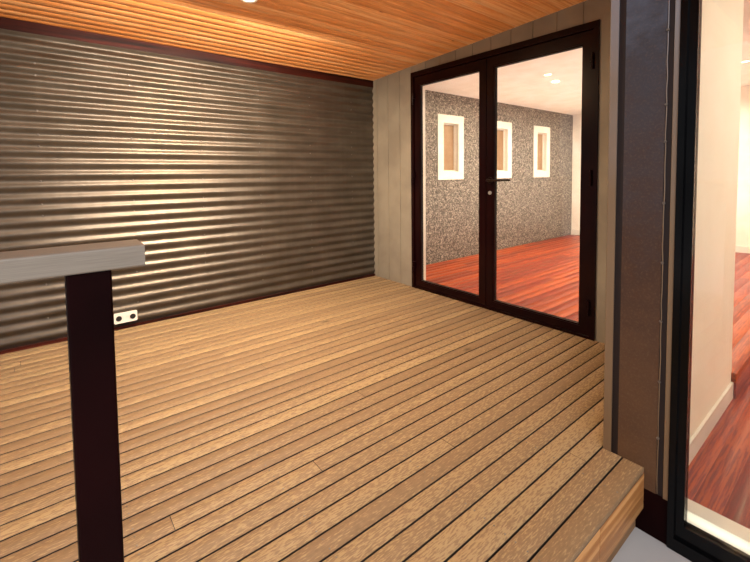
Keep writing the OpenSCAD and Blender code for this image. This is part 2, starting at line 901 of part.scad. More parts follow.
// Rafters along the fall, between two ends of the roof
module rafter_run(x0, x1, y0) {
  n = ceil((x1 - x0 - rafter_w) / rafter_pitch);
  step = (x1 - x0 - rafter_w) / n;
  for (i = [0:n])
    layer(x0 + i * step, x0 + i * step + rafter_w, y0, y_gutter - edge_t, lining_t + seat, rafter_d - seat);
}

module rafters() {
  color("burlywood") {
    rafter_run(ex_left + board_in, ex_nib, ey_deck + board_in);
    rafter_run(ex_nib + board_in, ex_right - board_in, ey_low + board_in);
  }
}

// Ribbed roof sheet: outline across the ribs, drawn along the fall
module ribbed(x0, x1, y0, y1) {
  n = floor((x1 - x0) / rib_pitch);
  m = (x1 - x0 - n * rib_pitch) / 2;
  ribs = [for (i = [0:n - 1]) each let (a = x0 + m + (i + 0.5) * rib_pitch)
    [[a - rib_foot, 0], [a - rib_top, rib_h], [a + rib_top, rib_h], [a + rib_foot, 0]]];
  low = concat([[x0, 0]], ribs, [[x1, 0]]);
  high = [for (i = [len(low) - 1:-1:0]) [low[i][0], low[i][1] + roof_t]];
  translate([0, y1, roof_z(y1) + fit]) rotate([90 - roof_pitch, 0, 0])
    linear_extrude((y1 - y0) / cos(roof_pitch)) polygon(concat(low, high));
}

module roof_sheet() {
  y1 = y_gutter + gutter_over;
  gap = board_in + fit;
  color("slategray") {
    ribbed(ex_left + gap, ex_nib + gap, ey_deck + gap, y1);
    ribbed(ex_nib + gap, ex_right - gap, ey_low + gap, y1);
  }
}

// Edge boards with the folded capping over them. This one runs along X
edge_h = lining_t + rafter_d;
module edge_along_x(x0, x1, y) {
  layer(x0, x1, y + fold_t, y + board_in, 0, edge_h);
  layer(x0, x1, y, y + fold_t, edge_h - cap_drop, cap_lift + fold_t + cap_drop - edge_h);
  layer(x0, x1, y, y + cap_w, cap_lift, fold_t);
}

// This one runs down the rake, with its outer face at x and its body on the side that way gives
module edge_along_y(x, way, y0, y1) {
  board = span(x, way, fold_t, board_in);
  leg = span(x, way, 0, fold_t);
  top = span(x, way, 0, cap_w);
  layer(board[0], board[1], y0, y1, 0, edge_h);
  layer(leg[0], leg[1], y0, y1, edge_h - cap_drop, cap_lift + fold_t + cap_drop - edge_h);
  layer(top[0], top[1], y0, y1, cap_lift, fold_t);
}

// The gutter's foot lies so far down that the roof sheet clears its rim
gutter_z = roof_z(y_gutter + gutter_over) - 4 * fold_t - gutter_h;
pipe_x = x_right - pipe_in;
pipe_y = y_gutter + gutter_w / 2;

// An open trough with closed ends along the low side, with a hole over the downpipe
module gutter() {
  x0 = ex_left + fold_t;
  x1 = ex_right - fold_t;
  difference() {
    box(ex_left, ex_right, y_gutter, ey_high, gutter_z, gutter_z + gutter_h);
    box(x0, x1, y_gutter + fold_t, ey_high - fold_t, gutter_z + fold_t, gutter_z + gutter_h + 1);
    translate([pipe_x, pipe_y, gutter_z - 1]) cylinder(r = pipe_r - fold_t, h = 2 * fold_t);
  }
}

// The downpipe, with two arms that hold it off the wall
module downpipe() {
  z0 = 3 * sheet_foot;
  difference() {
    union() {
      translate([pipe_x, pipe_y, z0]) cylinder(r = pipe_r, h = gutter_z - fit - z0);
      for (z = [0.25, 0.8] * gutter_z)
        box(pipe_x - arm_w / 2, pipe_x + arm_w / 2, y_high, pipe_y, z, z + arm_t);
    }
    translate([pipe_x, pipe_y, z0 - 1]) cylinder(r = pipe_r - fold_t, h = gutter_z);
  }
}

module roof_edge() {
  color("#2b2b2e") {
    edge_along_x(ex_left, ex_nib + fold_t, ey_deck);
    edge_along_x(ex_nib, ex_right, ey_low);
    edge_along_y(ex_left, 1, ey_deck, y_gutter);
    edge_along_y(ex_nib, 1, ey_low, ey_deck + board_in);
    edge_along_y(ex_right, -1, ey_low, y_gutter);
    layer(ex_left + fold_t, ex_right - fold_t, y_gutter - edge_t, y_gutter, 0, edge_h);
    gutter();
    downpipe();
  }
}

module front_beam() {
  color("maroon") raked(x_left, x_nib, y_post, y_post + roof_post, beam_z);
}

// An upright square tube on its base plate, with its corner at x and y
module rail_post(x, y, z1) {
  translate([x + post_w / 2, y + post_w / 2, deck_z]) {
    linear_extrude(z1 - deck_z) rounded(post_w, post_w, tube_r);
    linear_extrude(plate_t) rounded(plate_w, plate_w, tube_r);
  }
}

x_rail = x_left + rail_l;
rail_z0 = deck_z + rail_h - rail_t;
plate_lap = (plate_w - post_w) / 2;

// The tall post that carries the roof and the low posts that carry the handrail
module posts() {
  color("#2a1416") {
    box(x_left, x_left + roof_post, y_post, y_post + roof_post, deck_z, beam_z);
    rail_post(x_rail - rail_over - post_w, y_post + (rail_w - post_w) / 2, rail_z0);
    rail_post(x_left + plate_lap, y_back - plate_lap - post_w, rail_z0);
  }
}

// Round-cornered rails along the front and back to the screen wall
module handrail() {
  color("silver") translate([0, 0, rail_z0 + rail_t / 2]) {
    translate([x_left + roof_post, y_post + rail_w / 2, 0]) rotate([90, 0, 90])
      linear_extrude(rail_l - roof_post) rounded(rail_w, rail_t, tube_r);
    translate([x_left + plate_w / 2, y_crest - fit, 0]) rotate([90, 0, 0])
      linear_extrude(y_crest - fit - y_post - roof_post) rounded(rail_w, rail_t, tube_r);
  }
}

// A trim ring with a lens set back in it, and the body that fills the lining
module ceiling_lights() {
  color("white") for (at = lights) on_ceiling(at) rotate_extrude()
    polygon([[0, -bevel / 2], [light_body - 3 * bevel, -bevel / 2], [light_body - bevel, -light_proud],
             [light_r, -light_proud], [light_r, -fit], [light_body, -fit], [light_body, lining_t - bevel],
             [0, lining_t - bevel]]);
}

deck_frame();
deck_boards();
deck_fascia();
floor_frame();
room_floor();
screen_wall();
screen_sheet();
screen_trim();
screen_outlet();
back_wall();
back_lining();
back_sheet();
window_frames();
window_glass();
door_wall_left();
door_wall_right();
door_wall_head();
door_frame();
left_leaf();
left_glass();
right_leaf();
right_glass();
door_handle();
nib_wall();
pier_sheet();
pier_trim();
wing_front();
glazed_frame();
glazed_panels();
panel_glass();
inner_sill();
wing_side_wall();
wing_sheet();
end_wall();
end_sheet();
room_beam();
deck_ceiling();
room_ceiling();
rafters();
roof_sheet();
roof_edge();
front_beam();
posts();
handrail();
ceiling_lights();
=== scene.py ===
# Container cabin with a covered deck, finished in Blender round its CAD frame.
# Units are metres; X runs along the deck boards to the doors, Y to the back wall, Z up.

# %% [markdown]
# The CAD model comes in first, as a frame that never moves. Its nodes give every place that
# the pieces below need.

# %% Load the frame
import json
import math
import random

import bmesh
import bpy
from mathutils import Matrix, Vector


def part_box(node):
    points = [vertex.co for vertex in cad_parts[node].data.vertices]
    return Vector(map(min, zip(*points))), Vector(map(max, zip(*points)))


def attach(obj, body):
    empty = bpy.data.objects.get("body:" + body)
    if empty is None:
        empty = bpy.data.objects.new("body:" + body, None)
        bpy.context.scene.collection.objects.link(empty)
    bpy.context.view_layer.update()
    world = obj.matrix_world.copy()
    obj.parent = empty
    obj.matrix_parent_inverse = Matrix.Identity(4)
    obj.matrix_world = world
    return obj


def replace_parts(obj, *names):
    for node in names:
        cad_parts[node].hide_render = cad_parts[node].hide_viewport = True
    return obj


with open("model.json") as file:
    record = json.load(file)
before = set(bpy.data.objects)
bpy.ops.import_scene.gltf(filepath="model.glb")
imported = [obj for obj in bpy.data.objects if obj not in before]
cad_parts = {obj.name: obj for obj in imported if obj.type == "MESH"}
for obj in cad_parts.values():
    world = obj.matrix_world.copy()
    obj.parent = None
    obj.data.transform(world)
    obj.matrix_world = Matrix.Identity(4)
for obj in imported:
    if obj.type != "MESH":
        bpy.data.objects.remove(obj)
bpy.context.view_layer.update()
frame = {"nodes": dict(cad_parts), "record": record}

# %% [markdown]
# Rooms, walls and levels are read from the nodes' boxes. The roof falls towards the back wall,
# and its slope follows from the deck ceiling, which is one flat layer of known thickness.

# %% Levels and faces of the building
deck_low, deck_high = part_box("deck_boards")
x_left, y_lip, board_z = deck_low
x_door, y_back, deck_z = deck_high
x_nib, y_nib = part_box("wing_front")[0].x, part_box("nib_wall")[1].y
x_room0, x_room1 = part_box("back_lining")[0].x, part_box("back_lining")[1].x
y_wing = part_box("room_beam")[0].y

lining_t = 0.012
ceiling_low, ceiling_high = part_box("deck_ceiling")
rake = (ceiling_high.z - lining_t - ceiling_low.z) / (ceiling_high.y - ceiling_low.y)
pitch = math.atan(rake)


def ceiling_z(y):
    """Height of the ceiling's underside at y."""
    return ceiling_low.z + (ceiling_high.y - y) * rake


print(f"deck at {deck_z:.3f}, back ceiling at {ceiling_z(y_back):.3f}, fall {math.degrees(pitch):.2f} deg")

# %% [markdown]
# The camera stands on the deck's open corner, as in the photograph. Its focal length, height and
# heading were worked out from the picture's vanishing points. The horizon lies above the middle of
# the picture, so the lens is shifted down instead of the camera being tilted further.

# %% Camera
picture_w, picture_h = 750, 562
focal_px, horizon_px = 410.1, 194.9
eye = (-3.095, -0.907, 1.36)
heading, tilt, roll = 51.11, 2.91, -0.61

camera = bpy.data.objects.new("camera", bpy.data.cameras.new("camera"))
bpy.context.scene.collection.objects.link(camera)
camera.data.sensor_width = 36
camera.data.lens = focal_px / picture_w * camera.data.sensor_width
camera.data.shift_y = (horizon_px - picture_h / 2) / picture_w
camera.data.clip_start = 0.05
camera.matrix_world = (Matrix.Translation(eye)
                       @ Matrix.Rotation(math.radians(heading - 90), 4, "Z")
                       @ Matrix.Rotation(math.radians(90 - tilt), 4, "X")
                       @ Matrix.Rotation(math.radians(roll), 4, "Z"))
bpy.context.scene.camera = camera
print("camera at", [round(v, 3) for v in camera.matrix_world.translation])

# %% [markdown]
# A building is lit by the sky, so the studio gives it a pale world, large soft lights in front,
# beside, behind and above, and a pale floor. The roof would leave the deck in shade: one light low
# over the boards stands for what they throw up, and one washes down the screen wall. Indoors, wide
# lights that the camera can't see stand for the rooms' lamps. Cycles lets no lamp shine through a
# pane, so the sill behind the wing's glass has a narrow strip of light of its own.

# %% Floor and soft lights
def linear(hex_colour):
    """An sRGB hex colour as the linear values that Blender works with."""
    srgb = [int(hex_colour[i:i + 2], 16) / 255 for i in (1, 3, 5)]
    return [v / 12.92 if v <= 0.04045 else ((v + 0.055) / 1.055) ** 2.4 for v in srgb] + [1.0]


def keep(name, mesh):
    """Puts a mesh in the scene under a name."""
    obj = bpy.data.objects.new(name, mesh)
    bpy.context.scene.collection.objects.link(obj)
    return obj


def area_light(name, at, aim, size, watts, colour, glossy=False):
    """A soft rectangular light at a point, aimed at another, that neither camera nor glass shows."""
    data = bpy.data.lights.new(name, "AREA")
    data.shape = "RECTANGLE"
    data.size, data.size_y = size
    data.energy = watts
    data.color = linear(colour)[:3]
    light = keep(name, data)
    light.location = at
    light.rotation_mode = "QUATERNION"
    light.rotation_quaternion = (Vector(aim) - Vector(at)).to_track_quat("-Z", "Y")
    light.visible_camera = light.visible_transmission = False
    light.visible_glossy = glossy


world = bpy.data.worlds.new("studio")
world.use_nodes = True
world.node_tree.nodes["Background"].inputs["Color"].default_value = linear("#E9EDF4")
world.node_tree.nodes["Background"].inputs["Strength"].default_value = 0.45
bpy.context.scene.world = world
bpy.context.scene.view_settings.view_transform = "Standard"

reach = 60
floor_mesh = bpy.data.meshes.new("studio_floor")
floor_mesh.from_pydata([(-reach, -reach, 0), (reach, -reach, 0), (reach, reach, 0), (-reach, reach, 0)],
                       [], [(0, 1, 2, 3)])
studio_floor = keep("studio_floor", floor_mesh)

room_x = (x_room0 + x_room1) / 2
area_light("sky_front", (-7.5, -5.5, 4.5), (-1.5, 1.5, 1.0), (6, 4), 500, "#FBF7FF", glossy=True)
area_light("sky_side", (1.0, -9.0, 5.0), (1.0, 0.0, 1.2), (8, 4), 700, "#F6F3FF")
area_light("sky_back", (3.0, 9.0, 5.0), (1.0, 0.0, 1.5), (8, 4), 900, "#F6F4FF")
area_light("sky_top", (0.0, 0.0, 9.0), (0.0, 0.0, 0.0), (12, 9), 900, "#F4F6FF")
area_light("deck_bounce", (-1.5, 1.1, 0.30), (-1.5, 1.1, 2.0), (1.7, 1.8), 17, "#FFE8CC")
area_light("wall_wash", (-2.15, 1.5, 2.25), (-2.15, 2.55, 0.5), (1.5, 0.25), 66, "#FFF2E2", glossy=True)
area_light("room_up", (room_x, 1.1, 0.45), (room_x, 1.1, 2.0), (3.4, 1.6), 52, "#FFFAF2")
area_light("room_fill", (room_x, 1.2, 2.28), (room_x, 1.2, 0), (3.6, 1.6), 116, "#FFF3E2")
area_light("wing_fill", (1.2, -1.5, 2.40), (1.2, -1.5, 0), (4.4, 1.4), 74, "#FFF3E2")
area_light("sill_wash", (-1.335, -1.44, 0.1), (-1.303, -1.44, 0.085), (1.94, 0.006), 0.9, "#FFF3E2")

# %% [markdown]
# Materials are built from nodes. One function adds a node, sets its values and links its inputs.
# A new material starts with a Principled shader whose fixed values, such as roughness, are set on
# its own sockets, because the export keeps those. A pattern is measured in millimetres on the piece.

# %% Helpers for nodes
def result(value):
    """A node's first live output, or the value itself, with a hex colour turned to linear."""
    if isinstance(value, bpy.types.Node):
        return next(output for output in value.outputs if output.enabled)
    return linear(value) if str(value).startswith("#") else value


def add(tree, kind, inputs=None, stops=(), to=None, **settings):
    """Adds a node. Inputs are values, hex colours, nodes or sockets; stops are a colour ramp's."""
    node = tree.nodes.new(kind)
    for name, value in settings.items():
        setattr(node, name, value)
    for name, value in (inputs or {}).items():
        value = result(value)
        if isinstance(value, bpy.types.NodeSocket):
            tree.links.new(value, node.inputs[name])
        else:
            node.inputs[name].default_value = value
    for i, (place, colour) in enumerate(stops):
        if i == len(node.color_ramp.elements):
            node.color_ramp.elements.new(1.0)
        node.color_ramp.elements[i].position = place
        node.color_ramp.elements[i].color = linear(colour)
    if to:
        tree.links.new(result(node), to)
    return node


def lumps(tree, size_mm, at=None, detail=3, roughness=0.5):
    """Soft lumps that measure size_mm along X, Y and Z of the piece, or all round."""
    sizes = size_mm if isinstance(size_mm, (tuple, list)) else (size_mm,) * 3
    place = at or add(tree, "ShaderNodeTexCoord").outputs["Object"]
    scaled = add(tree, "ShaderNodeMapping", {"Vector": place, "Scale": [1000 / s for s in sizes]})
    return add(tree, "ShaderNodeTexNoise", {"Vector": scaled, "Scale": 1, "Detail": detail,
                                            "Roughness": roughness}).outputs["Fac"]


def new_material(name, relief=None, **fixed):
    """A material, its tree and its shader's inputs. Relief is the size and depth in mm of its finest lumps;
    fixed values go by the socket's name with _ for spaces."""
    material = bpy.data.materials.new(name)
    material.use_nodes = True
    tree, skin = material.node_tree, material.node_tree.nodes["Principled BSDF"].inputs
    for socket, value in fixed.items():
        skin[socket.replace("_", " ")].default_value = value
    if relief:
        size_mm, depth_mm = relief
        add(tree, "ShaderNodeBump", {"Height": lumps(tree, size_mm, detail=1), "Distance": depth_mm / 1000},
            to=skin["Normal"])
    return material, tree, skin


def here(tree):
    """The place on the piece, as its X, Y and Z."""
    return add(tree, "ShaderNodeSeparateXYZ", {0: add(tree, "ShaderNodeTexCoord").outputs["Object"]}).outputs


studio_paint, tree, skin = new_material("studio_floor_paint", Base_Color=linear("#B4B1AB"), Roughness=0.9)
studio_floor.data.materials.append(studio_paint)


# %% [markdown]
# Timber shows the way it was cut: fibres run along the board, growth rings make long bands, and
# each board has its own tone. The same helper serves the deck, the fascia, the lining and the floor,
# with colours, fibre width and varnish set for each.

# %% Timber
def timber(name, dark, middle, light, along="X", fibre_mm=1.6, band_mm=22, tone_spread=0.35, contrast=0.3,
           stretched=30, knots=0.0, gap_shade_below=None, fibre_depth=0.35, IOR=1.5, **fixed):
    """Timber with fibres and bands along one axis; a board's tone attribute shifts its colour."""
    material, tree, skin = new_material(name, IOR=IOR, **fixed)
    # Each board carries a tone, a number that also moves its grain, so that no two look the same
    tone = add(tree, "ShaderNodeAttribute", attribute_name="tone").outputs["Fac"]
    shift = add(tree, "ShaderNodeVectorMath", {0: tone, 1: (7.0, 13.0, 3.0)}, operation="MULTIPLY")
    place = add(tree, "ShaderNodeTexCoord").outputs["Object"]
    place = add(tree, "ShaderNodeVectorMath", {0: place, 1: shift}, operation="ADD")
    stretch = [1.0 if axis == along else 0.0 for axis in "XYZ"]
    long_way = [1 + (stretched - 1) * s for s in stretch]
    fibres = lumps(tree, [fibre_mm * s for s in long_way], place, detail=4, roughness=0.6)
    bands = lumps(tree, [band_mm * s for s in long_way], place, detail=2)
    band_share = 0.45
    mixed = add(tree, "ShaderNodeMath", {0: fibres, 1: band_share, 2: bands}, operation="MULTIPLY_ADD")
    toned = add(tree, "ShaderNodeMath", {0: tone, 1: tone_spread, 2: mixed}, operation="MULTIPLY_ADD")
    # Noise stays near its middle, 0.5, so the three colours lie close round the middle of the sum
    middle_at = 0.5 + 0.5 * band_share + tone_spread / 2
    colour = add(tree, "ShaderNodeValToRGB", {"Fac": toned}, stops=[
        (middle_at - contrast, dark), (middle_at, middle), (middle_at + contrast, light)])
    if knots:
        # Knots: small dark ovals, longer along the board
        spread = add(tree, "ShaderNodeMapping", {"Vector": place,
                                                 "Scale": [1 / (knots * (1 + s)) for s in stretch]})
        cells = add(tree, "ShaderNodeTexVoronoi", {"Vector": spread, "Scale": 1, "Randomness": 1})
        knot = add(tree, "ShaderNodeMapRange", {"Value": cells.outputs["Distance"], "From Min": 0.02,
                                                "From Max": 0.06, "To Min": 1, "To Max": 0})
        colour = add(tree, "ShaderNodeMix", {0: knot, 6: colour, 7: dark}, data_type="RGBA")
    if gap_shade_below:
        # Painted shade in the gaps: under this height every side of a board is nearly black, except on the
        # deck's two outer faces, which stay unshaded apart from a painted shadow line along the boards'
        # lowest few millimetres
        spot = here(tree)
        unshaded = add(tree, "ShaderNodeMapRange", {"Value": spot["Z"], "From Min": gap_shade_below - 0.0008,
                                                 "From Max": gap_shade_below})
        for axis, edge in (("X", x_left), ("Y", y_lip)):
            outer_face = add(tree, "ShaderNodeMapRange", {"Value": spot[axis], "From Min": edge + 0.002,
                                                      "From Max": edge + 0.001})
            unshaded = add(tree, "ShaderNodeMath", {0: unshaded, 1: outer_face}, operation="MAXIMUM")
        above = add(tree, "ShaderNodeMapRange", {"Value": spot["Z"], "From Min": board_z + 0.003,
                                                 "From Max": board_z + 0.004})
        unshaded = add(tree, "ShaderNodeMath", {0: unshaded, 1: above}, operation="MINIMUM")
        colour = add(tree, "ShaderNodeMix", {0: unshaded, 6: "#120B07", 7: colour}, data_type="RGBA")
    tree.links.new(result(colour), skin["Base Color"])
    add(tree, "ShaderNodeBump", {"Height": fibres, "Distance": fibre_depth / 1000}, to=skin["Normal"])
    return material


# Treated softwood decking, sawn and weathered: tan with grey-brown fibres and a dry, rough face. The
# fibres are drawn 3 mm wide, coarser than real ones, because finer ones are lost in the picture
# Below their top face the boards' sides are painted near-black, as shade in the gaps and under the front edge
decking = timber("weathered_softwood_decking", "#5C472B", "#866A4A", "#A2875F", fibre_mm=3, band_mm=5,
                 tone_spread=0.25, contrast=0.95, stretched=5, knots=0.4, gap_shade_below=deck_z - 0.0003,
                 fibre_depth=0.04, Roughness=0.62)
# Oiled softwood fascia: warmer than the boards, with a faint sheen
fascia_colours = "#643B1C", "#A26D3A", "#BE8B54"
fascia_wood = timber("oiled_softwood_fascia", *fascia_colours, band_mm=16, contrast=0.7, knots=0.35,
                     Roughness=0.5)
# The same board laid across the deck's open end, with its fibres along Y
end_fascia_wood = timber("oiled_softwood_end_fascia", *fascia_colours, along="Y", band_mm=16, contrast=0.7,
                         Roughness=0.5)
# Varnished pine lining: orange under a thin clear coat, with brown streaks and small knots
lining_wood = timber("varnished_pine_lining", "#8A4519", "#E3914C", "#F2B274", band_mm=12, knots=0.2,
                     tone_spread=0.2, contrast=0.6, fibre_depth=0.05, Roughness=0.5, Coat_Weight=0.2,
                     Coat_Roughness=0.3)
# Stained floor boards: red-brown, with a thin glossy varnish over a softer sheen
floor_wood = timber("varnished_red_floor_boards", "#3E0A02", "#86220A", "#AA440F", band_mm=8, contrast=0.6,
                    stretched=22, fibre_depth=0.03, Roughness=0.4, Specular_IOR_Level=0.3,
                    Coat_Weight=0.14, Coat_Roughness=0.06)
# Rough sawn framing timber: pale brown, furry and dull
sawn_colours = "#6B4E33", "#9A7750", "#B99767"
framing_wood = timber("rough_sawn_framing_timber", *sawn_colours, fibre_mm=2.2, knots=0.5, fibre_depth=0.8,
                      Roughness=0.8)
# Rafters, sawn from the same timber but laid down the fall
rafter_wood = timber("rough_sawn_rafter_timber", *sawn_colours, along="Y", fibre_mm=2.2, fibre_depth=0.8,
                     Roughness=0.8)
# Dark stained beam and plinth: nearly black red-brown with a low sheen
stained_wood = timber("dark_stained_timber", "#160605", "#3A140C", "#5A2012", band_mm=24, tone_spread=0.2,
                      Roughness=0.45, Specular_IOR_Level=0.15)
print("timbers made")

# %% [markdown]
# Painted and coated metals: a semi-gloss coat over sheet steel shows faint mottling, and dust
# gathers where water leaves it. Powder-coated aluminium has the fine bumps of orange peel. Bare
# satin metal keeps the lines of its brushing.

# %% Sheet steel, aluminium and handles
# Colour-coated zinc sheet: taupe with a metallic flake, semi-gloss, with faint streaks left by rain
sheet_steel, tree, skin = new_material("colour_coated_corrugated_steel", (30, 0.03), Metallic=0.7,
                                       Coat_Weight=0.15, Coat_Roughness=0.3, Coat_IOR=1.5)
mottle = lumps(tree, (260, 260, 90))
streaks = lumps(tree, (40, 40, 700), detail=2)
both = add(tree, "ShaderNodeMath", {0: streaks, 1: 0.3, 2: mottle}, operation="MULTIPLY_ADD")
add(tree, "ShaderNodeValToRGB", {"Fac": both}, to=skin["Base Color"],
    stops=[(0.35, "#4E463B"), (0.65, "#595045"), (0.95, "#675E52")])
add(tree, "ShaderNodeMapRange", {"Value": both, "From Min": 0.4, "From Max": 0.9, "To Min": 0.36,
                                 "To Max": 0.44}, to=skin["Roughness"])


def coated(name, low_hex, high_hex, peel_mm=1.2, peel_depth=0.02, patch_mm=220, foot=None, **fixed):
    """A sprayed coat: two near colours in wide patches, with the fine lumps of orange peel."""
    material, tree, skin = new_material(name, (peel_mm, peel_depth), **fixed)
    colour = add(tree, "ShaderNodeValToRGB", {"Fac": lumps(tree, patch_mm)},
                 stops=[(0.35, low_hex), (0.65, high_hex)])
    if foot:
        # The lowest 25 mm of a wall is drawn in the dark foot colour
        above = add(tree, "ShaderNodeMapRange", {"Value": here(tree)["Z"], "From Min": 0.024,
                                                 "From Max": 0.026})
        colour = add(tree, "ShaderNodeMix", {0: above, 6: foot, 7: colour}, data_type="RGBA")
    tree.links.new(result(colour), skin["Base Color"])
    return material


# Powder-coated door frame: near-black maroon with a wet gloss
door_coat = coated("dark_bronze_powder_coat", "#110203", "#1A0504", Roughness=0.28, IOR=1.5,
                   Specular_IOR_Level=0.12)
# Powder-coated glazed screen: plain gloss black
black_coat = coated("gloss_black_powder_coat", "#030304", "#080809", Roughness=0.2, IOR=1.5,
                    Specular_IOR_Level=0.2)
# Posts: nearly black red-brown paint on steel; the plinth plate takes the same near-black
post_paint = coated("dark_painted_steel", "#0E0202", "#180404", Roughness=0.5, IOR=1.5,
                    Specular_IOR_Level=0.05)
# Roof sheet, edges and gutter: charcoal coating, dusty in patches
roof_coat = coated("charcoal_coated_steel", "#2C2D30", "#3F4043", patch_mm=500, Roughness=0.45, IOR=1.5)
# Skirting, reveals, window boards and sill: clean white satin paint
trim_paint = coated("white_satin_trim_paint", "#DED5C7", "#E8E0D3", Roughness=0.35, IOR=1.5)
# Wing's folded strips as the frame has them: satin cream paint
cream_paint = coated("satin_cream_paint", "#E6CFA6", "#F1E0C0", Roughness=0.35, IOR=1.5)
# Screw heads: zinc-plated steel, painted over and dulled
screw_steel = coated("dulled_zinc_screw_steel", "#6E675F", "#857C72", patch_mm=40, Metallic=0.7,
                     Roughness=0.45)
# Glazing bead: black rubber with a soft, dry face
rubber = coated("extruded_black_rubber", "#0A0A0A", "#141312", Roughness=0.6, IOR=1.52)
# Sockets: dark moulded plastic inside the pale plate
socket_plastic = coated("moulded_dark_plastic", "#1C1A18", "#2A2724", peel_mm=0.7, patch_mm=30,
                        Roughness=0.45, IOR=1.49)
# Outlet: off-white thermoplastic with a fine eroded texture
outlet_plastic = coated("moulded_off_white_plastic", "#E4DBC8", "#EAE2D2", peel_mm=0.7, peel_depth=0.03,
                        Roughness=0.38, IOR=1.49)
# Rings of the downlights: die-cast and painted white
ring_paint = coated("white_painted_casting", "#E9E4DA", "#F2EEE6", Roughness=0.35, IOR=1.5)

# Strips on the wing: dull olive-tan paint; the change from brown-tan low down to grey at the top is painted
# light, the rooms' warm light on the lower part
strip_paint, tree, skin = new_material("olive_tan_paint_lit_by_height", (1.2, 0.02), Roughness=0.5, IOR=1.5)
blotted = add(tree, "ShaderNodeMath", {0: lumps(tree, 300), 1: 0.8, 2: here(tree)["Z"]},
              operation="MULTIPLY_ADD")
by_height = add(tree, "ShaderNodeMapRange", {"Value": blotted, "From Min": 0.5, "From Max": 2.8})
add(tree, "ShaderNodeValToRGB", {"Fac": by_height}, to=skin["Base Color"],
    stops=[(0.0, "#6E5439"), (0.5, "#76624B"), (1.0, "#80828A")])

# Satin anodised metal: brushed along the piece, so that its gloss is drawn out in lines
satin_metal, tree, skin = new_material("brushed_satin_metal", Metallic=0.3, Roughness=0.4)
lines = lumps(tree, (40, 0.8, 0.8), detail=2)
add(tree, "ShaderNodeValToRGB", {"Fac": lines}, stops=[(0.3, "#807667"), (0.7, "#8E8475")],
    to=skin["Base Color"])
add(tree, "ShaderNodeBump", {"Height": lines, "Distance": 0.000004}, to=skin["Normal"])

# Door handle: a bronzed lever and rose, worn a little, above a bright lock barrel
handle_metal, tree, skin = new_material("bronzed_lever_and_bright_lock", (0.8, 0.01), Metallic=0.8,
                                        Roughness=0.35)
between = sum(corner.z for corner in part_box("door_handle")) / 2
bronze = add(tree, "ShaderNodeValToRGB", {"Fac": lumps(tree, 6)},
             stops=[(0.35, "#1C120E"), (0.65, "#33241C")])
lever = add(tree, "ShaderNodeMapRange", {"Value": here(tree)["Z"], "From Min": between - 0.001,
                                         "From Max": between + 0.001})
add(tree, "ShaderNodeMix", {0: lever, 6: "#BDB6AB", 7: bronze}, data_type="RGBA", to=skin["Base Color"])
print("metals made")

# %% [markdown]
# Boards, render and fittings: matt wall paint has the stipple of a roller, the cladding is satin
# paint on fibre board, the lining of the back wall is small pebbles set in resin, and the dark
# sheet on the wing's corner is fibrous and weathers from blue-grey at the top to brown at its foot.

# %% Walls and fittings
# Matt emulsion on board: warm white with a roller's stipple
wall_paint = coated("matt_wall_paint", "#F1E7D5", "#F9F1E3", peel_mm=2.5, peel_depth=0.12, foot="#26211D",
                    Roughness=0.75, IOR=1.5)
# Painted fibre-board cladding: satin tan
cladding_colours = "#7F7463", "#8D826F"
cladding_paint = coated("satin_painted_cladding", *cladding_colours, peel_mm=2.0, peel_depth=0.06,
                        Roughness=0.42, IOR=1.5)

# The wing's inner wall takes three colours, parted by place: cladding on the deck side, cream inside,
# and painted shade, nearly black, on the front edge in the recess between the sheet and the strips
nib_paint, tree, skin = new_material("nib_wall_paints", (2, 0.06), Roughness=0.5, IOR=1.5)
spot, patches = here(tree), lumps(tree, 220)
inner, outer = [add(tree, "ShaderNodeValToRGB", {"Fac": patches}, stops=[(0.35, low), (0.65, high)])
                for low, high in (("#F3E8D4", "#F6ECDA"), cladding_colours)]
outside, behind = [
    add(tree, "ShaderNodeMapRange", {"Value": spot[axis], "From Min": edge, "From Max": edge + 0.001})
    for axis, edge in (("Y", y_wing + 0.001), ("X", x_nib + 0.003))]
sides = add(tree, "ShaderNodeMix", {0: outside, 6: inner, 7: outer}, data_type="RGBA")
add(tree, "ShaderNodeMix", {0: behind, 6: "#170907", 7: sides}, data_type="RGBA", to=skin["Base Color"])

# Pebbles in clear resin: rounded stones about 16 mm across in greys and tans, dark in the joints
pebbles, tree, skin = new_material("pebbles_in_resin", Roughness=0.45, IOR=1.5, Coat_Weight=0.3,
                                   Coat_Roughness=0.2)
stone_mm = 16
stones = {"Vector": add(tree, "ShaderNodeTexCoord").outputs["Object"], "Scale": 1000 / stone_mm}
cells = add(tree, "ShaderNodeTexVoronoi", stones)
tint = add(tree, "ShaderNodeSeparateColor", {"Color": cells.outputs["Color"]})
stone = add(tree, "ShaderNodeValToRGB", {"Fac": tint},
            stops=[(0.0, "#544C45"), (0.35, "#80766D"), (0.7, "#A2978B"), (1.0, "#C6BBAC")])
edge = add(tree, "ShaderNodeTexVoronoi", stones, feature="DISTANCE_TO_EDGE")
shade = add(tree, "ShaderNodeMapRange", {"Value": edge, "From Max": 0.16, "To Min": 0.12})
add(tree, "ShaderNodeMix", {0: shade, 6: "#1E1814", 7: stone}, data_type="RGBA", to=skin["Base Color"])
rounded = add(tree, "ShaderNodeMapRange", {"Value": edge, "From Max": 0.4}, interpolation_type="SMOOTHERSTEP")
add(tree, "ShaderNodeBump", {"Height": rounded, "Distance": 0.006}, to=skin["Normal"])

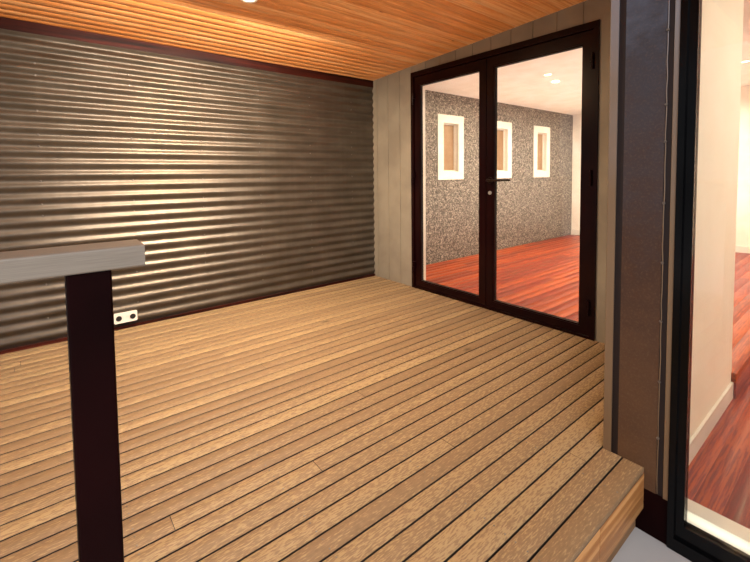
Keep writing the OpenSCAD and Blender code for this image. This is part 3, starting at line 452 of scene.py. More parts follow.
# Fibrous dark sheet: blotched and furry, blue-grey above, brown where splashes wet it
dark_sheet, tree, skin = new_material("weathered_fibrous_sheet", Roughness=0.5, IOR=1.5)
fibres = lumps(tree, 9, detail=6, roughness=0.75)
stains = lumps(tree, (110, 110, 70), detail=6, roughness=0.65)
blotted = add(tree, "ShaderNodeMath", {0: stains, 1: 0.9, 2: here(tree)["Z"]}, operation="MULTIPLY_ADD")
by_height = add(tree, "ShaderNodeMapRange", {"Value": blotted, "From Min": 0.5, "From Max": 2.9})
weathered = add(tree, "ShaderNodeValToRGB", {"Fac": by_height},
                stops=[(0.0, "#5A3D24"), (0.4, "#3E271A"), (0.72, "#34343C"), (1.0, "#5A6678")])
flecks = add(tree, "ShaderNodeMapRange", {"Value": fibres, "From Min": 0.5, "From Max": 0.9, "To Max": 0.3})
add(tree, "ShaderNodeMix", {0: flecks, 6: weathered, 7: "#8A7358"}, data_type="RGBA", to=skin["Base Color"])
add(tree, "ShaderNodeBump", {"Height": fibres, "Distance": 0.0006}, to=skin["Normal"])

# Float glass: clear with a trace of green, and smears that catch the light
clear_glass, tree, skin = new_material("clear_float_glass", Base_Color=linear("#F6FBF8"), IOR=1.52,
                                       Specular_IOR_Level=0.3, Transmission_Weight=1.0)
add(tree, "ShaderNodeMapRange", {"Value": lumps(tree, (160, 160, 90)), "From Min": 0.45, "From Max": 0.9,
                                 "To Max": 0.03}, to=skin["Roughness"])

# Acid-etched glass: tan evening light behind it, soft and milky
frosted_glass, tree, skin = new_material("acid_etched_glass", (1.5, 0.05), Roughness=0.55, IOR=1.52,
                                         Transmission_Weight=0.35)
add(tree, "ShaderNodeValToRGB", {"Fac": lumps(tree, (120, 120, 200), detail=2)},
    stops=[(0.3, "#A8835F"), (0.7, "#BE9B78")], to=skin["Base Color"])

# Opal lens: lit from behind, warm and even
opal, tree, skin = new_material("lit_opal_lens", Roughness=0.4, IOR=1.49, Emission_Color=linear("#FFD9A0"),
                                Emission_Strength=14.0)
add(tree, "ShaderNodeValToRGB", {"Fac": lumps(tree, 8, detail=1)},
    stops=[(0.3, "#FFE9C9"), (0.7, "#FFF8EC")], to=skin["Base Color"])
print(len(bpy.data.materials), "materials")

# %% [markdown]
# Every CAD node that keeps its shape takes its finish through its material slots. The first table
# is the record's own list of slots, with the material that stands for each. The second names the
# few nodes whose finish differs from the rest of their slot.

# %% Give the CAD nodes their finishes
finish_of = {
    "framing_timber": framing_wood, "decking_timber": decking, "fascia_timber": fascia_wood,
    "floor_timber": floor_wood, "wall_board": wall_paint, "corrugated_steel": sheet_steel,
    "stained_timber": stained_wood, "outlet_plastic": outlet_plastic, "pebble_lining": pebbles,
    "cream_trim": cream_paint, "frosted_glass": frosted_glass, "clear_glass": clear_glass,
    "grooved_cladding": cladding_paint, "dark_aluminium": door_coat, "black_aluminium": black_coat,
    "satin_metal": satin_metal, "dark_sheet": dark_sheet, "lining_timber": lining_wood,
    "roof_steel": roof_coat, "dark_steel": post_paint, "lamp_white": ring_paint,
}
finish_of_node = {"inner_sill": trim_paint, "window_frames": trim_paint, "rafters": rafter_wood,
                  "nib_wall": nib_paint, "door_handle": handle_metal}
for part in frame["record"]["subparts"]:
    mesh = frame["nodes"][part["node"]].data
    mesh.materials.clear()
    mesh.materials.append(finish_of_node.get(part["node"]) or finish_of[part["material_slot"]])

# %% [markdown]
# Boards that lie side by side repeat, so Geometry Nodes lay them. The tree draws one board a metre
# long as a line with a chamfered section, puts it on every start point, stretches it to the length
# and width stored there, and gives each board a tone of its own for its material.

# %% The tree that lays boards
def new_tree(name, inputs):
    """An empty Geometry Nodes tree with named inputs, and its input node's outputs."""
    tree = bpy.data.node_groups.new(name, "GeometryNodeTree")
    for label, kind in {"Geometry": "Geometry", **inputs, "Material": "Material"}.items():
        tree.interface.new_socket(label, in_out="INPUT", socket_type="NodeSocket" + kind)
    tree.interface.new_socket("Geometry", in_out="OUTPUT", socket_type="NodeSocketGeometry")
    return tree, add(tree, "NodeGroupInput").outputs


def end_tree(tree, geometry, given):
    """Ends a tree: what it made becomes real mesh and takes the material it was given."""
    real = add(tree, "GeometryNodeRealizeInstances", {"Geometry": geometry})
    coloured = add(tree, "GeometryNodeSetMaterial", {"Geometry": real, "Material": given["Material"]})
    add(tree, "NodeGroupOutput", {"Geometry": coloured})


def plain_mesh(obj):
    """An object's shape with its modifiers applied, as a plain mesh."""
    return bpy.data.meshes.new_from_object(obj.evaluated_get(bpy.context.evaluated_depsgraph_get()))


def grown(name, tree, values, points=()):
    """Runs a tree on start points, given as places or a mesh, and keeps the result as a plain mesh."""
    start = points
    if not isinstance(points, bpy.types.Mesh):
        start = bpy.data.meshes.new(name + "_points")
        start.from_pydata(points, [], [])
    source = keep(name + "_start", start)
    modifier = source.modifiers.new("nodes", "NODES")
    modifier.node_group = tree
    for item in tree.interface.items_tree:
        if item.in_out == "INPUT" and item.name in values:
            modifier[item.identifier] = values[item.name]
    mesh = plain_mesh(source)
    bpy.data.objects.remove(source)
    return keep(name, mesh)


lay_boards, given = new_tree("lay boards", {"Width": "Float", "Thickness": "Float", "Chamfer": "Float",
                                            "Turn": "Float", "Seed": "Int"})
line = add(lay_boards, "GeometryNodeCurvePrimitiveLine", {"End": (1, 0, 0)})
section = add(lay_boards, "GeometryNodeCurvePrimitiveQuadrilateral", {"Width": given["Width"],
                                                                      "Height": given["Thickness"]})
chamfered = add(lay_boards, "GeometryNodeFilletCurve", {"Curve": section, "Radius": given["Chamfer"]},
                mode="POLY")
board = add(lay_boards, "GeometryNodeCurveToMesh", {"Curve": line, "Profile Curve": chamfered,
                                                    "Fill Caps": True})
length, share = [add(lay_boards, "GeometryNodeInputNamedAttribute", {"Name": stored})
                 for stored in ("length", "share")]
stretch = add(lay_boards, "ShaderNodeCombineXYZ", {"X": length, "Y": share, "Z": 1.0})
turn = add(lay_boards, "ShaderNodeCombineXYZ", {"X": given["Turn"]})
laid = add(lay_boards, "GeometryNodeInstanceOnPoints", {"Points": given["Geometry"], "Instance": board,
                                                        "Rotation": turn, "Scale": stretch})
own_tone = add(lay_boards, "FunctionNodeRandomValue", {"Seed": given["Seed"]})
toned = add(lay_boards, "GeometryNodeStoreNamedAttribute", {
    "Geometry": laid, "Name": "tone", "Value": own_tone}, data_type="FLOAT", domain="INSTANCE")
end_tree(lay_boards, toned, given)


def boards(name, rows, width, thickness, material, chamfer=0.0015, turn=0.0, seed=1):
    """Boards along X: each row is (start x, centre y, centre z, length, share of the full width)."""
    points = bpy.data.meshes.new(name + "_points")
    points.from_pydata([row[:3] for row in rows], [], [])
    for i, label in ((3, "length"), (4, "share")):
        points.attributes.new(label, "FLOAT", "POINT").data.foreach_set("value", [row[i] for row in rows])
    made = grown(name, lay_boards, {"Width": width, "Thickness": thickness, "Chamfer": chamfer, "Turn": turn,
                                    "Seed": seed, "Material": material}, points)
    print(name, len(rows), "boards,", len(made.data.polygons), "faces")
    return made


def lengths(x0, x1, dice, shortest, longest, joints=()):
    """Cuts a row from x0 to x1 into boards, at the given joints or at places thrown by the dice."""
    cuts = list(joints)
    if not cuts:
        x = x0 + dice.uniform(0.4, longest)
        while x < x1 - shortest:
            cuts.append(x)
            x += dice.uniform(shortest, longest)
    return list(zip([x0] + cuts, cuts + [x1]))


def courses(y_from, y_to, step, width, z, x_from, x_end, dice, span, gap=0.0, joints={}):
    """Rows of boards side by side from one y to another, the last ripped to fit; x_end(y) is a row's end."""
    rows = []
    for i in range(math.ceil((y_to - y_from) / step)):
        y0 = y_from + i * step
        y1 = min(y0 + width, y_to)
        rows += [(a, (y0 + y1) / 2, z, b - a - gap, (y1 - y0) / width)
                 for a, b in lengths(x_from, x_end(y0), dice, *span, joints.get(i, ()))]
    return rows


# %% [markdown]
# The deck's boards run towards the doors, 71 mm wide with 5 mm gaps that show dark. They are laid
# from the front edge, so the last one at the back wall is ripped to width. Two butt joints stand
# where the photograph shows them; the others are thrown at random with a fixed seed.

# %% Deck boards
def deck_end(y):
    """Where the deck stops at y: at the doors, or in front of the wing at its face."""
    return x_door if y > y_nib else x_nib


board_pitch, board_gap, butt_gap = 0.0757, 0.005, 0.002
board_w = board_pitch - board_gap
board_t = deck_z - board_z
seen_joints = {10: [-2.325], 11: [-2.817]}
rows = courses(y_lip, y_back, board_pitch, board_w, (board_z + deck_z) / 2, x_left, deck_end,
               random.Random(4), (1.2, 3.6), butt_gap, seen_joints)
deck = boards("deck_board_rows", rows, board_w, board_t, decking)
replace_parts(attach(deck, "root"), "deck_boards")

# %% [markdown]
# The deck ceiling is pine lining, 87 mm wide and tongued, so its boards touch and only a small V
# shows at each joint. The boards follow the roof's fall, so each row is turned by that angle. The
# downlight's hole is cut with a boolean, which is the simplest way to drill through many boards.

# %% Deck ceiling
def drum(at, radius, depth):
    """A mesh of an upright round bar, used to drill a hole."""
    mesh = bpy.data.meshes.new("drum")
    shape = bmesh.new()
    bmesh.ops.create_cone(shape, cap_ends=True, segments=48, radius1=radius, radius2=radius, depth=depth,
                          matrix=Matrix.Translation(at))
    shape.to_mesh(mesh)
    shape.free()
    return mesh


def finished(obj):
    """Applies an object's modifiers, which leaves a plain mesh."""
    mesh = plain_mesh(obj)
    obj.modifiers.clear()
    obj.data = mesh


def cut(obj, *meshes):
    """Takes meshes out of an object."""
    cutters = [keep("cutter", mesh) for mesh in meshes]
    for cutter in cutters:
        boolean = obj.modifiers.new("cut", "BOOLEAN")
        boolean.object, boolean.operation, boolean.solver = cutter, "DIFFERENCE", "EXACT"
    finished(obj)
    for cutter in cutters:
        bpy.data.objects.remove(cutter)


lining_rows, lining_joint, tongue_gap = 37, 0.0005, 0.0008
lining_pitch = (ceiling_high.y - ceiling_low.y) / lining_rows
dice = random.Random(7)
rows = []
for i in range(lining_rows):
    y = ceiling_low.y + (i + 0.5) * lining_pitch
    rows += [(a, y, ceiling_z(y) + lining_t / 2, b - a - lining_joint, 1.0)
             for a, b in lengths(ceiling_low.x, deck_end(y), dice, 1.4, 4.2)]
lining = boards("deck_ceiling_boards", rows, (lining_pitch - tongue_gap) / math.cos(pitch), lining_t - 0.0004,
                lining_wood, chamfer=0.002, turn=-pitch, seed=3)
deck_light, room_light, wing_light = [Vector((x, y, ceiling_z(y))) for x, y in (
    (-2.105, 1.497), (1.197, 1.410), (2.615, 0.036))]
light_body_r = 0.042
cut(lining, drum(deck_light, light_body_r + 0.0003, 0.2))
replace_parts(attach(lining, "root"), "deck_ceiling")

# %% [markdown]
# Indoors the floor is hardwood strip, laid tight and sanded flush, so only hairline joints show.
# The wing's floor lies lower, and one upright board closes the step between the two.

# %% Inner floors
floor_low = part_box("room_floor")[0]
floor_t, strip_pitch, strip_span = board_t, 0.086, (0.8, 2.4)
wing_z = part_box("inner_sill")[1].z - 0.006
y_step = y_wing - floor_t
dice = random.Random(11)
rows = []
for y0, y1, top, x0 in ((y_step, y_back, deck_z, x_room0), (floor_low.y, y_step, wing_z, floor_low.x)):
    rows += courses(y0, y1, strip_pitch, strip_pitch, top - floor_t / 2, x0, lambda y: x_room1, dice,
                    strip_span)
strips = boards("floor_strips", rows, strip_pitch, floor_t, floor_wood, chamfer=0.0006, seed=5)
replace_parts(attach(strips, "root"), "room_floor")
riser_h = deck_z - floor_t - floor_low.z
y_riser = y_wing - floor_t / 2
riser = boards("floor_riser", [(x_room0, y_riser, floor_low.z + riser_h / 2, x_room1 - x_room0, 1.0)],
               floor_t, riser_h, floor_wood, chamfer=0.001, seed=9)
step = boards("wing_floor_edge", [(floor_low.x, y_riser, wing_z - floor_t / 2, x_room0 - floor_low.x, 1.0)],
              floor_t, floor_t, floor_wood, chamfer=0.0006, seed=10)
for piece in (riser, step):
    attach(piece, "root")

# %% [markdown]
# Round corrugation is a sine wave rolled into thin sheet: 76.2 mm pitch and 16 mm deep. That is a
# rule, so Geometry Nodes bend a fine grid by it; Solidify gives the 0.8 mm of steel, and the window
# openings and the raked top are cut afterwards. Sixteen steps a wave let the gloss run smoothly.

# %% The tree that corrugates a sheet
wave_pitch, wave_d, sheet_t = 0.0762, 0.016, 0.0008
wave_steps = 16
bend, given = new_tree("corrugate", {"Length": "Float", "Height": "Float", "Rows": "Int", "Pitch": "Float",
                                     "Depth": "Float"})
grid = add(bend, "GeometryNodeMeshGrid", {"Size X": given["Length"], "Size Y": given["Height"],
                                          "Vertices X": 2, "Vertices Y": given["Rows"]})
flat = add(bend, "ShaderNodeSeparateXYZ", {0: add(bend, "GeometryNodeInputPosition")}).outputs
half_length, half_height, half_depth = [
    add(bend, "ShaderNodeMath", {0: given[size], 1: 0.5}, operation="MULTIPLY")
    for size in ("Length", "Height", "Depth")]
along = add(bend, "ShaderNodeMath", {0: flat["X"], 1: half_length}, operation="ADD")
up = add(bend, "ShaderNodeMath", {0: flat["Y"], 1: half_height}, operation="ADD")
waves = add(bend, "ShaderNodeMath", {0: up, 1: given["Pitch"]}, operation="DIVIDE")
angle = add(bend, "ShaderNodeMath", {0: waves, 1: math.tau}, operation="MULTIPLY")
cosine = add(bend, "ShaderNodeMath", {0: angle}, operation="COSINE")
swing = add(bend, "ShaderNodeMath", {0: cosine, 1: 1.0}, operation="SUBTRACT")
out_y = add(bend, "ShaderNodeMath", {0: swing, 1: half_depth}, operation="MULTIPLY")
bent = add(bend, "ShaderNodeCombineXYZ", {"X": along, "Y": out_y, "Z": up})
end_tree(bend, add(bend, "GeometryNodeSetPosition", {"Geometry": grid, "Position": bent}), given)


def sheet(name, length, height, place):
    """A corrugated sheet along X that stands out towards -Y from its valleys, then moved by a matrix."""
    rows = round(height / wave_pitch * wave_steps) + 1
    made = grown(name, bend, {"Length": length, "Height": height, "Rows": rows, "Pitch": wave_pitch,
                              "Depth": wave_d, "Material": sheet_steel})
    solid = made.modifiers.new("thickness", "SOLIDIFY")
    solid.thickness, solid.offset = sheet_t, 0.0
    finished(made)
    made.data.transform(place)
    made.data.shade_smooth()
    made.data.set_sharp_from_angle(angle=math.radians(50))
    return made


def block(low, high, radius=0.0):
    """A mesh of a box between two corners, its edges rounded where a radius is given."""
    mesh = bpy.data.meshes.new("block")
    shape = bmesh.new()
    bmesh.ops.create_cube(shape, size=1)
    low, high = Vector(low), Vector(high)
    bmesh.ops.transform(shape, verts=shape.verts,
                        matrix=Matrix.Translation((low + high) / 2) @ Matrix.Diagonal((*(high - low), 1)))
    if radius:
        bmesh.ops.bevel(shape, geom=shape.edges[:], offset=radius, segments=2, profile=0.5, affect="EDGES")
    shape.to_mesh(mesh)
    shape.free()
    return mesh


# %% [markdown]
# The screen wall takes two sheets that lap near the doors, where the photograph shows a faint
# upright line. The back wall and the wing's side take one sheet each, cut round three windows.

# %% Corrugated walls
screen_low, screen_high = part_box("screen_sheet")
lap_x, lap = -1.045, 0.04
screen_h = screen_high.z - screen_low.z
valley = screen_high.y - sheet_t / 2
one = sheet("screen_sheet_long", lap_x + lap - screen_low.x, screen_h,
            Matrix.Translation((screen_low.x, valley - sheet_t, screen_low.z)))
two = sheet("screen_sheet_short", screen_high.x - lap_x, screen_h,
            Matrix.Translation((lap_x, valley, screen_low.z)))
for piece in (one, two):
    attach(piece, "root")
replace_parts(one, "screen_sheet")

window_w, window_h, window_step, window_grow = 0.310, 0.630, 1.100, 0.0003
window_x = [x_door + 1.250 + i * window_step for i in range(3)]
window_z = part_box("window_glass")[0].z - 0.026
under_ceiling = 0.0004


def walled(name, node, way):
    """A sheet on a long wall, cut round its windows; way is 1 where it stands out towards +Y, else -1."""
    low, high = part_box(node)
    corner = (high.x, low.y + sheet_t / 2, low.z) if way == 1 else (low.x, high.y - sheet_t / 2, low.z)
    made = sheet(name, high.x - low.x, ceiling_z(high.y) - under_ceiling - low.z,
                 Matrix.Translation(corner) @ Matrix.Rotation(math.pi if way == 1 else 0, 4, "Z"))
    cut(made, *[block((x - window_w / 2 - window_grow, low.y - 0.1, window_z - window_grow),
                      (x + window_w / 2 + window_grow, high.y + 0.1, window_z + window_h + window_grow))
                for x in window_x])
    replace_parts(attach(made, "root"), node)
    return made


back = walled("back_sheet_steel", "back_sheet", 1)
side = walled("wing_sheet_steel", "wing_sheet", -1)
print("sheets", [len(o.data.polygons) for o in (one, two, back, side)])

# %% [markdown]
# The house's far end takes the same corrugated sheet, turned round the corner, and an upright angle
# covers each corner where two sheets meet. An angle is an outline drawn upwards, so one helper draws
# any outline in plan up to the roof's slope or to a level.

# %% End wall sheet and corner angles
def fitted(name, mesh, material, body="root"):
    """Puts a mesh in the scene as a piece with its material, riding on a body."""
    mesh.materials.clear()
    mesh.materials.append(material)
    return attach(keep(name, mesh), body)


def upright(name, outline, z0, material, z1=None):
    """An outline in plan drawn up from z0 to z1, or to just under the raked ceiling."""
    mesh = bpy.data.meshes.new(name)
    n = len(outline)
    low = [(x, y, z0) for x, y in outline]
    high = [(x, y, ceiling_z(y) - 0.0002 if z1 is None else z1) for x, y in outline]
    sides = [(i, (i + 1) % n, n + (i + 1) % n, n + i) for i in range(n)]
    mesh.from_pydata(low + high, [], sides + [tuple(reversed(range(n))), tuple(range(n, 2 * n))])
    return fitted(name, mesh, material)


end_low, end_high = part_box("end_sheet")
fold_t, angle_w, end_in = 0.002, 0.04, 0.018
x_right, y_high = end_high.x - fold_t, end_high.y - fold_t
end = sheet("end_sheet_steel", 2 * (y_high - end_in), ceiling_z(-y_high) - under_ceiling - end_low.z,
            Matrix.Translation((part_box("end_wall")[1].x + 0.0007, -y_high + end_in, end_low.z))
            @ Matrix.Rotation(math.pi / 2, 4, "Z"))
shape = bmesh.new()
shape.from_mesh(end.data)
top = bmesh.ops.bisect_plane(shape, geom=shape.verts[:] + shape.edges[:] + shape.faces[:], clear_outer=True,
                             plane_co=(0, 0, ceiling_z(0) - under_ceiling),
                             plane_no=Vector((0, rake, 1)).normalized())
bmesh.ops.edgeloop_fill(shape, edges=[e for e in top["geom_cut"] if isinstance(e, bmesh.types.BMEdge)])
shape.to_mesh(end.data)
shape.free()
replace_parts(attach(end, "root"), "end_sheet")
for side_name, way in (("low", -1), ("high", 1)):
    x_tip, x_out = x_right - angle_w, x_right + fold_t
    y, y_tip, y_out = way * y_high, way * (y_high - angle_w), way * (y_high + fold_t)
    outline = [(x_tip, y), (x_right, y), (x_right, y_tip), (x_out, y_tip), (x_out, y_out), (x_tip, y_out)]
    upright("corner_angle_" + side_name, outline[::-way], end_low.z, roof_coat)

# %% [markdown]
# Round things are turned on a lathe: a profile of radii and heights is drawn once and revolved.
# Each downlight is a cast ring with a lens set back in it, square to the raked ceiling. The lens
# glows, and a small warm light under it does the real lighting, which keeps the picture clean.

# %% Downlights
def turned(name, profile, place, material, steps=40):
    """Revolves points of (radius, height) round Z, then moves the result by a matrix."""
    mesh = bpy.data.meshes.new(name)
    shape = bmesh.new()
    rings = []
    for radius, height in profile:
        turns = [math.tau * i / steps for i in range(steps if radius > 0 else 1)]
        rings.append([shape.verts.new((radius * math.cos(a), radius * math.sin(a), height)) for a in turns])
    for a, b in zip(rings, rings[1:]):
        for i in range(steps):
            j = (i + 1) % steps
            corners = [a[i % len(a)], a[j % len(a)], b[j % len(b)], b[i % len(b)]]
            shape.faces.new(list(dict.fromkeys(corners)))
    bmesh.ops.recalc_face_normals(shape, faces=shape.faces)
    shape.to_mesh(mesh)
    shape.free()
    mesh.transform(place)
    mesh.shade_smooth()
    mesh.set_sharp_from_angle(angle=math.radians(35))
    return fitted(name, mesh, material)


ring_r, lens_r, proud = 0.052, 0.036, 0.003
ring_profile = [(ring_r, -0.0003), (ring_r, -proud + 0.0008), (ring_r - 0.001, -proud),
                (lens_r + 0.004, -proud), (lens_r + 0.001, -0.0012), (lens_r, 0.002), (lens_r, 0.011),
                (light_body_r, 0.011), (light_body_r, -0.0003), (ring_r, -0.0003)]
lens_profile = [(0, 0.0105), (lens_r - 0.0002, 0.0105), (lens_r - 0.0002, 0.0015), (lens_r * 0.8, -0.0006),
                (lens_r * 0.45, -0.0016), (0, -0.002)]
for name, at, watts in (("deck", deck_light, 50), ("room", room_light, 24), ("wing", wing_light, 24)):
    square_to_ceiling = Matrix.Translation(at) @ Matrix.Rotation(-pitch, 4, "X")
    ring = turned(f"downlight_ring_{name}", ring_profile, square_to_ceiling, ring_paint)
    turned(f"downlight_lens_{name}", lens_profile, square_to_ceiling, opal)
    if name == "deck":
        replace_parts(ring, "ceiling_lights")
    area_light(f"lamp_{name}", at - Vector((0, 0, 0.012)), at - Vector((0, 0, 1)), (0.06, 0.06), watts,
               "#FFD9A8", glossy=True)
    print("downlight", name, watts, "W")

# %% [markdown]
# The wing's corner is dressed with folded strips: an angle with a rounded bend on the corner, a
# plain strip beside the black frame, and a dark plate under them. A bead of sealant runs down the
# dark sheet's free edge and wanders a little, as one does that was put on by hand.

# %% Corner strips, sealant and plinth plate
def rounded_corner(x, y, radius, start, steps=5):
    """Points of a quarter circle round (x, y), counted anticlockwise from the start angle in degrees."""
    return [(x + radius * math.cos(math.radians(start + 90 * i / steps)),
             y + radius * math.sin(math.radians(start + 90 * i / steps))) for i in range(steps + 1)]


strip_out, strip_w, edge_r = 0.004, 0.026, 0.002
strip_face, wall_face = x_nib - strip_out, x_nib + fold_t
sheet_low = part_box("pier_sheet")[0]
edge_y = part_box("pier_trim")[0].y
angle_outline = [(wall_face, y_nib - strip_w), (wall_face, y_nib), (wall_face + 0.02, y_nib),
                 (wall_face + 0.02, y_nib + strip_out), *rounded_corner(x_nib, y_nib, strip_out, 90),
                 (strip_face, y_nib - strip_w)]
corner = upright("corner_strip", angle_outline, deck_z, strip_paint,
                 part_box("front_beam")[0].z - 0.0003)
edge_outline = [(wall_face, edge_y), (wall_face, edge_y + 0.017),
                *rounded_corner(strip_face + edge_r, edge_y + 0.015, edge_r, 90),
                *rounded_corner(strip_face + edge_r, edge_y + edge_r, edge_r, 180)]
upright("edge_strip", edge_outline, sheet_low.z, strip_paint)
plate_top = sheet_low.z - 0.0003
upright("plinth_plate", [(x_nib, edge_y), (wall_face, edge_y), (wall_face, y_nib), (x_nib, y_nib)], 0.0,
        post_paint, plate_top)
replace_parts(corner, "pier_trim")


def bead(name, path, radius, material, body="root", closed=False, smooth=False):
    """A round bead along a path of points: straight between them, or bent smoothly through them."""
    curve = bpy.data.curves.new(name + "_path", "CURVE")
    curve.dimensions, curve.bevel_depth, curve.bevel_resolution = "3D", radius, 2 if smooth else 1
    curve.use_fill_caps = not closed
    curve.resolution_u = 3
    spline = curve.splines.new("BEZIER" if smooth else "POLY")
    points = spline.bezier_points if smooth else spline.points
    points.add(len(path) - 1)
    for point, place in zip(points, path):
        point.co = place if smooth else (*place, 1)
        if smooth:
            point.handle_left_type = point.handle_right_type = "AUTO"
    spline.use_cyclic_u = closed
    source = keep(name + "_path", curve)
    mesh = plain_mesh(source)
    bpy.data.objects.remove(source)
    return fitted(name, mesh, material, body)


seal_y, seal_steps, wander = sheet_low.y - 0.0035, 46, 0.0012
seal_z0, seal_z1 = plate_top + 0.004, ceiling_z(seal_y) - 0.003
dice = random.Random(21)
path = [(wall_face - 0.0012, seal_y + dice.uniform(-wander, wander),
         seal_z0 + (seal_z1 - seal_z0) * i / seal_steps) for i in range(seal_steps + 1)]
sealant = bead("sealant_bead", path, 0.0018, strip_paint, smooth=True)
print("corner dressed, sealant", len(sealant.data.polygons), "faces")

# %% [markdown]
# Screws follow rules: a pair at every crossing of board and joist, rows along every fourth wave of
# the outer walls, one on each roof rib at each batten. One tree puts the same low head on every
# point it is given, turned to face out of the surface, so a screw costs only a few faces.

# %% The tree that sets screws
set_screws, given = new_tree("set screws", {"Radius": "Float", "Height": "Float", "Sides": "Int",
                                            "Turn": "Vector"})
top_r = add(set_screws, "ShaderNodeMath", {0: given["Radius"], 1: 0.72}, operation="MULTIPLY")
head = add(set_screws, "GeometryNodeMeshCone", {"Vertices": given["Sides"], "Radius Top": top_r,
                                                "Radius Bottom": given["Radius"], "Depth": given["Height"]})
end_tree(set_screws, add(set_screws, "GeometryNodeInstanceOnPoints", {
    "Points": given["Geometry"], "Instance": head, "Rotation": given["Turn"]}), given)


def screws(name, points, turn=(0, 0, 0), radius=0.0065, height=0.006, sides=6):
    """Screw heads on all the points, their axis turned from +Z by the given Euler angles."""
    made = grown(name, set_screws, {"Radius": radius, "Height": height, "Sides": sides, "Turn": turn,
                                    "Material": screw_steel}, points)
    print(name, len(points), "screws,", len(made.data.polygons), "faces")
    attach(made, "root")


# %% [markdown]
# Deck screws sink flush and turn dark, so they are shallow and dull. Wall and roof screws have hex
# heads that stand up. The screen wall's columns and the fixings in the sealant stand where the
# photograph shows them.

# %% Screws
joist_step = 0.443
deck_points = []
for i in range(math.ceil((y_back - y_lip) / board_pitch)):
    y = y_lip + i * board_pitch
    x = x_left + 0.045
    while x < deck_end(y) - 0.02:
        if y + board_w < y_back:
            deck_points += [(x, y + share * board_w, deck_z) for share in (0.22, 0.78)]
        x += joist_step
screws("deck_screws", deck_points, radius=0.0034, height=0.0006)

facing_front, facing_back, facing_left = (math.pi / 2, 0, 0), (-math.pi / 2, 0, 0), (0, -math.pi / 2, 0)
screen_x = (-4.15, -3.63, -3.11, -2.583, -2.09, -1.6, -1.09, -0.6)
screws("screen_screws", [(x, valley - sheet_t, screen_low.z + (2 * k + (k % 3 == 2)) * wave_pitch)
                         for x in screen_x for k in range(1, 13)], facing_front)


def wall_points(x0, y, z0, columns, step=0.6, clear=0.22):
    """Places on every fourth wave of a long wall, in columns that keep clear of its windows."""
    return [(x, y, z0 + k * 4 * wave_pitch) for x in [x0 + i * step for i in range(columns)]
            for k in range(1, 8) if all(abs(x - w) > clear for w in window_x)]


back_low, (side_low, side_high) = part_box("back_sheet")[0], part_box("wing_sheet")
screws("back_screws", wall_points(x_left + 0.1, back_low.y + 0.002, back_low.z, 15),
       facing_back)
screws("wing_screws", wall_points(x_nib + 0.2, side_high.y - 0.002, side_low.z, 9),
       facing_front)
seal_fixing_z = (0.385, 0.596, 0.819, 1.032, 1.246, 1.463, 1.593, 1.85, 2.1)
screws("seal_fixings", [(wall_face - 0.003, seal_y, z) for z in seal_fixing_z], facing_left,
       radius=0.0055, height=0.005, sides=8)

post_plates, plate_t, bolt_out = ((-3.0575, -0.299), (-4.245, 2.5)), 0.009, 0.038
screws("plate_screws", [(x + i * bolt_out, y + j * bolt_out, deck_z + plate_t) for x, y in post_plates
                        for i in (-1, 1) for j in (-1, 1)])

roof_low, roof_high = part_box("roof_sheet")
rib_pitch, deck_eaves_y, batten_in, batten_step = 0.190, -0.53, 0.12, 0.9
deck_edge = x_nib - 0.168
roof_points = []
for x0, x1, y0 in ((roof_low.x, deck_edge, deck_eaves_y), (deck_edge, roof_high.x, roof_low.y)):
    ribs = math.floor((x1 - x0) / rib_pitch)
    margin = (x1 - x0 - ribs * rib_pitch) / 2
    for i in range(ribs):
        y = y0 + batten_in
        while y < roof_high.y - 0.1:
            roof_points.append((x0 + margin + (i + 0.5) * rib_pitch, y,
                                roof_high.z - (y - roof_low.y) * rake + 0.0005))
            y += batten_step
screws("roof_screws", roof_points, (-pitch, 0, 0), radius=0.007)

# %% [markdown]
# Behind the doors, pale timber lines the opening and frames it on the room's side: it is the bright
# strip that shows beside the left glass. Skirting boards close the foot of the walls. All are planed
# boards, so each is a box with rounded edges between two corners that the frame gives.

# %% Reveals, architraves and skirting
def bar(name, low, high, radius, material):
    """A planed board between two corners with its edges rounded."""
    return fitted(name, block(low, high, radius), material)


frame_low, frame_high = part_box("door_frame")
reveal_in, casing_w, casing_t = 0.047, 0.055, 0.012
reveal_x0, reveal_x1, casing_x = frame_high.x + 0.0005, x_room0 + 0.012, x_room0 + 0.012 + casing_t
jamb_y0, jamb_y1 = frame_low.y + reveal_in, frame_high.y - reveal_in
head_z, casing_z = frame_high.z - reveal_in, frame_high.z + casing_w
for name, y0, y1, z0, z1 in (("left", jamb_y1, frame_high.y, deck_z, head_z),
                             ("right", frame_low.y, jamb_y0, deck_z, head_z),
                             ("head", frame_low.y, frame_high.y, head_z, frame_high.z)):
    bar(f"reveal_{name}", (reveal_x0, y0, z0), (reveal_x1, y1, z1), 0.001, trim_paint)
for name, y0, y1, z0 in (("left", jamb_y1, frame_high.y + casing_w, deck_z),
                         ("right", frame_low.y - casing_w, jamb_y0, deck_z),
                         ("head", jamb_y0, jamb_y1, head_z)):
    bar(f"architrave_{name}", (reveal_x1, y0, z0), (casing_x, y1, casing_z), 0.002, trim_paint)

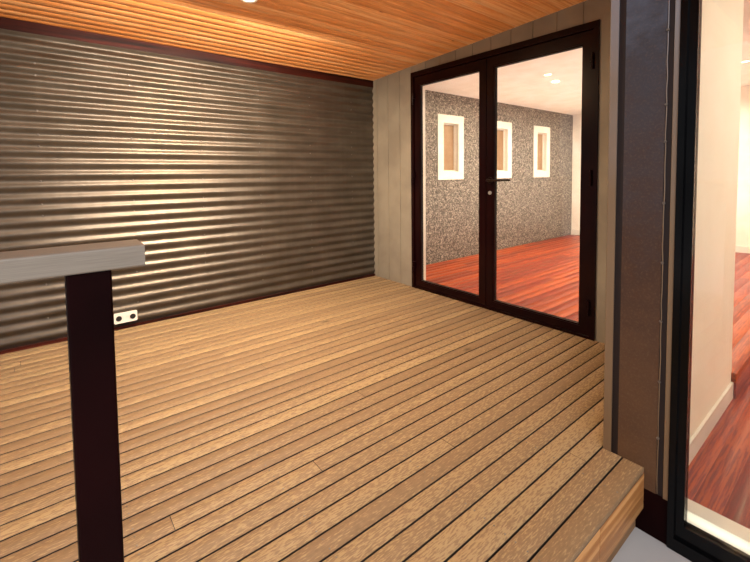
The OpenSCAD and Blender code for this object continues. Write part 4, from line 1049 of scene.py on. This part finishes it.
skirt_h, skirt_t = 0.09, 0.012
x_wing, wing_in = x_nib + 0.155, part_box("wing_side_wall")[1].y
beside_casing = casing_w + 0.001
for name, x0, x1, y0, y1, z in (
        ("nib", x_wing, x_room0, y_wing - skirt_t, y_wing, wing_z),
        ("room_end", x_room1 - skirt_t, x_room1, y_wing, y_back, deck_z),
        ("wing_end", x_room1 - skirt_t, x_room1, wing_in, y_wing - floor_t, wing_z),
        ("wing_side", x_wing, x_room1 - skirt_t, wing_in, wing_in + skirt_t, wing_z),
        ("door_left", x_room0, x_room0 + skirt_t, frame_high.y + beside_casing, y_back, deck_z),
        ("door_right", x_room0, x_room0 + skirt_t, y_wing, frame_low.y - beside_casing, deck_z)):
    bar(f"skirting_{name}", (x0, y0, z), (x1, y1, z + skirt_h), 0.002, trim_paint)
print("reveals, architraves and skirting made")

# %% [markdown]
# A rubber bead seals each pane on both faces. It is one closed line round the glass with a round
# section, made like the sealant, and it rides with its own door.

# %% Glazing beads
glass_edge, bead_r, bead_out = 0.008, 0.0028, 0.0012
for leaf in ("left", "right"):
    low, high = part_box(f"{leaf}_glass")
    y0, y1, z0, z1 = low.y + glass_edge, high.y - glass_edge, low.z + glass_edge, high.z - glass_edge
    for side_name, x in (("out", low.x - bead_out), ("in", high.x + bead_out)):
        bead(f"{leaf}_glazing_bead_{side_name}", [(x, y0, z0), (x, y1, z0), (x, y1, z1), (x, y0, z1)], bead_r,
             rubber, f"{leaf}_door", closed=True)
    print(leaf, "door's beads made")

# %% [markdown]
# The deck's edge is closed by two long boards in front and one across its open end. The front one
# shows a butt joint near the wing. The boards' own tree lays the front; the end board is a bar
# whose timber runs the other way.

# %% Fascia boards
fascia_low, fascia_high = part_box("deck_fascia")
fascia_t, joint_x, half_gap = 0.025, -1.765, 0.001
rows = [(a, y_lip + fascia_t / 2, (fascia_low.z + fascia_high.z) / 2, b - half_gap - a, 1.0)
        for a, b in ((x_left, joint_x), (joint_x + half_gap, x_nib + half_gap))]
front = boards("front_fascia", rows, fascia_t, fascia_high.z - fascia_low.z, fascia_wood, chamfer=0.002,
               seed=6)
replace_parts(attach(front, "root"), "deck_fascia")
bar("end_fascia", (x_left, y_lip + fascia_t + 0.0005, fascia_low.z),
    (x_left + fascia_t, y_back, fascia_high.z), 0.002, end_fascia_wood)

# %% [markdown]
# The twin outlet has two dark round sockets set in its plate. Each is a shallow cup with a flat
# floor, turned like the lights but laid on its side to face out from the wall.

# %% Sockets of the outlet
outlet_low, outlet_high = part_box("screen_outlet")
socket_r, socket_out, socket_down = 0.0185, 0.0438, 0.040
plate_face = outlet_low.y + 0.004
cup = [(0, 0.0008), (socket_r * 0.82, 0.0008), (socket_r * 0.88, 0.0022), (socket_r, 0.0026),
       (socket_r, -0.0004), (0, -0.0004)]
for name, way in (("left", -1), ("right", 1)):
    at = ((outlet_low.x + outlet_high.x) / 2 + way * socket_out, plate_face, outlet_high.z - socket_down)
    turned(f"socket_{name}", cup, Matrix.Translation(at) @ Matrix.Rotation(math.pi / 2, 4, "X"),
           socket_plastic, steps=24)
print("sockets made")
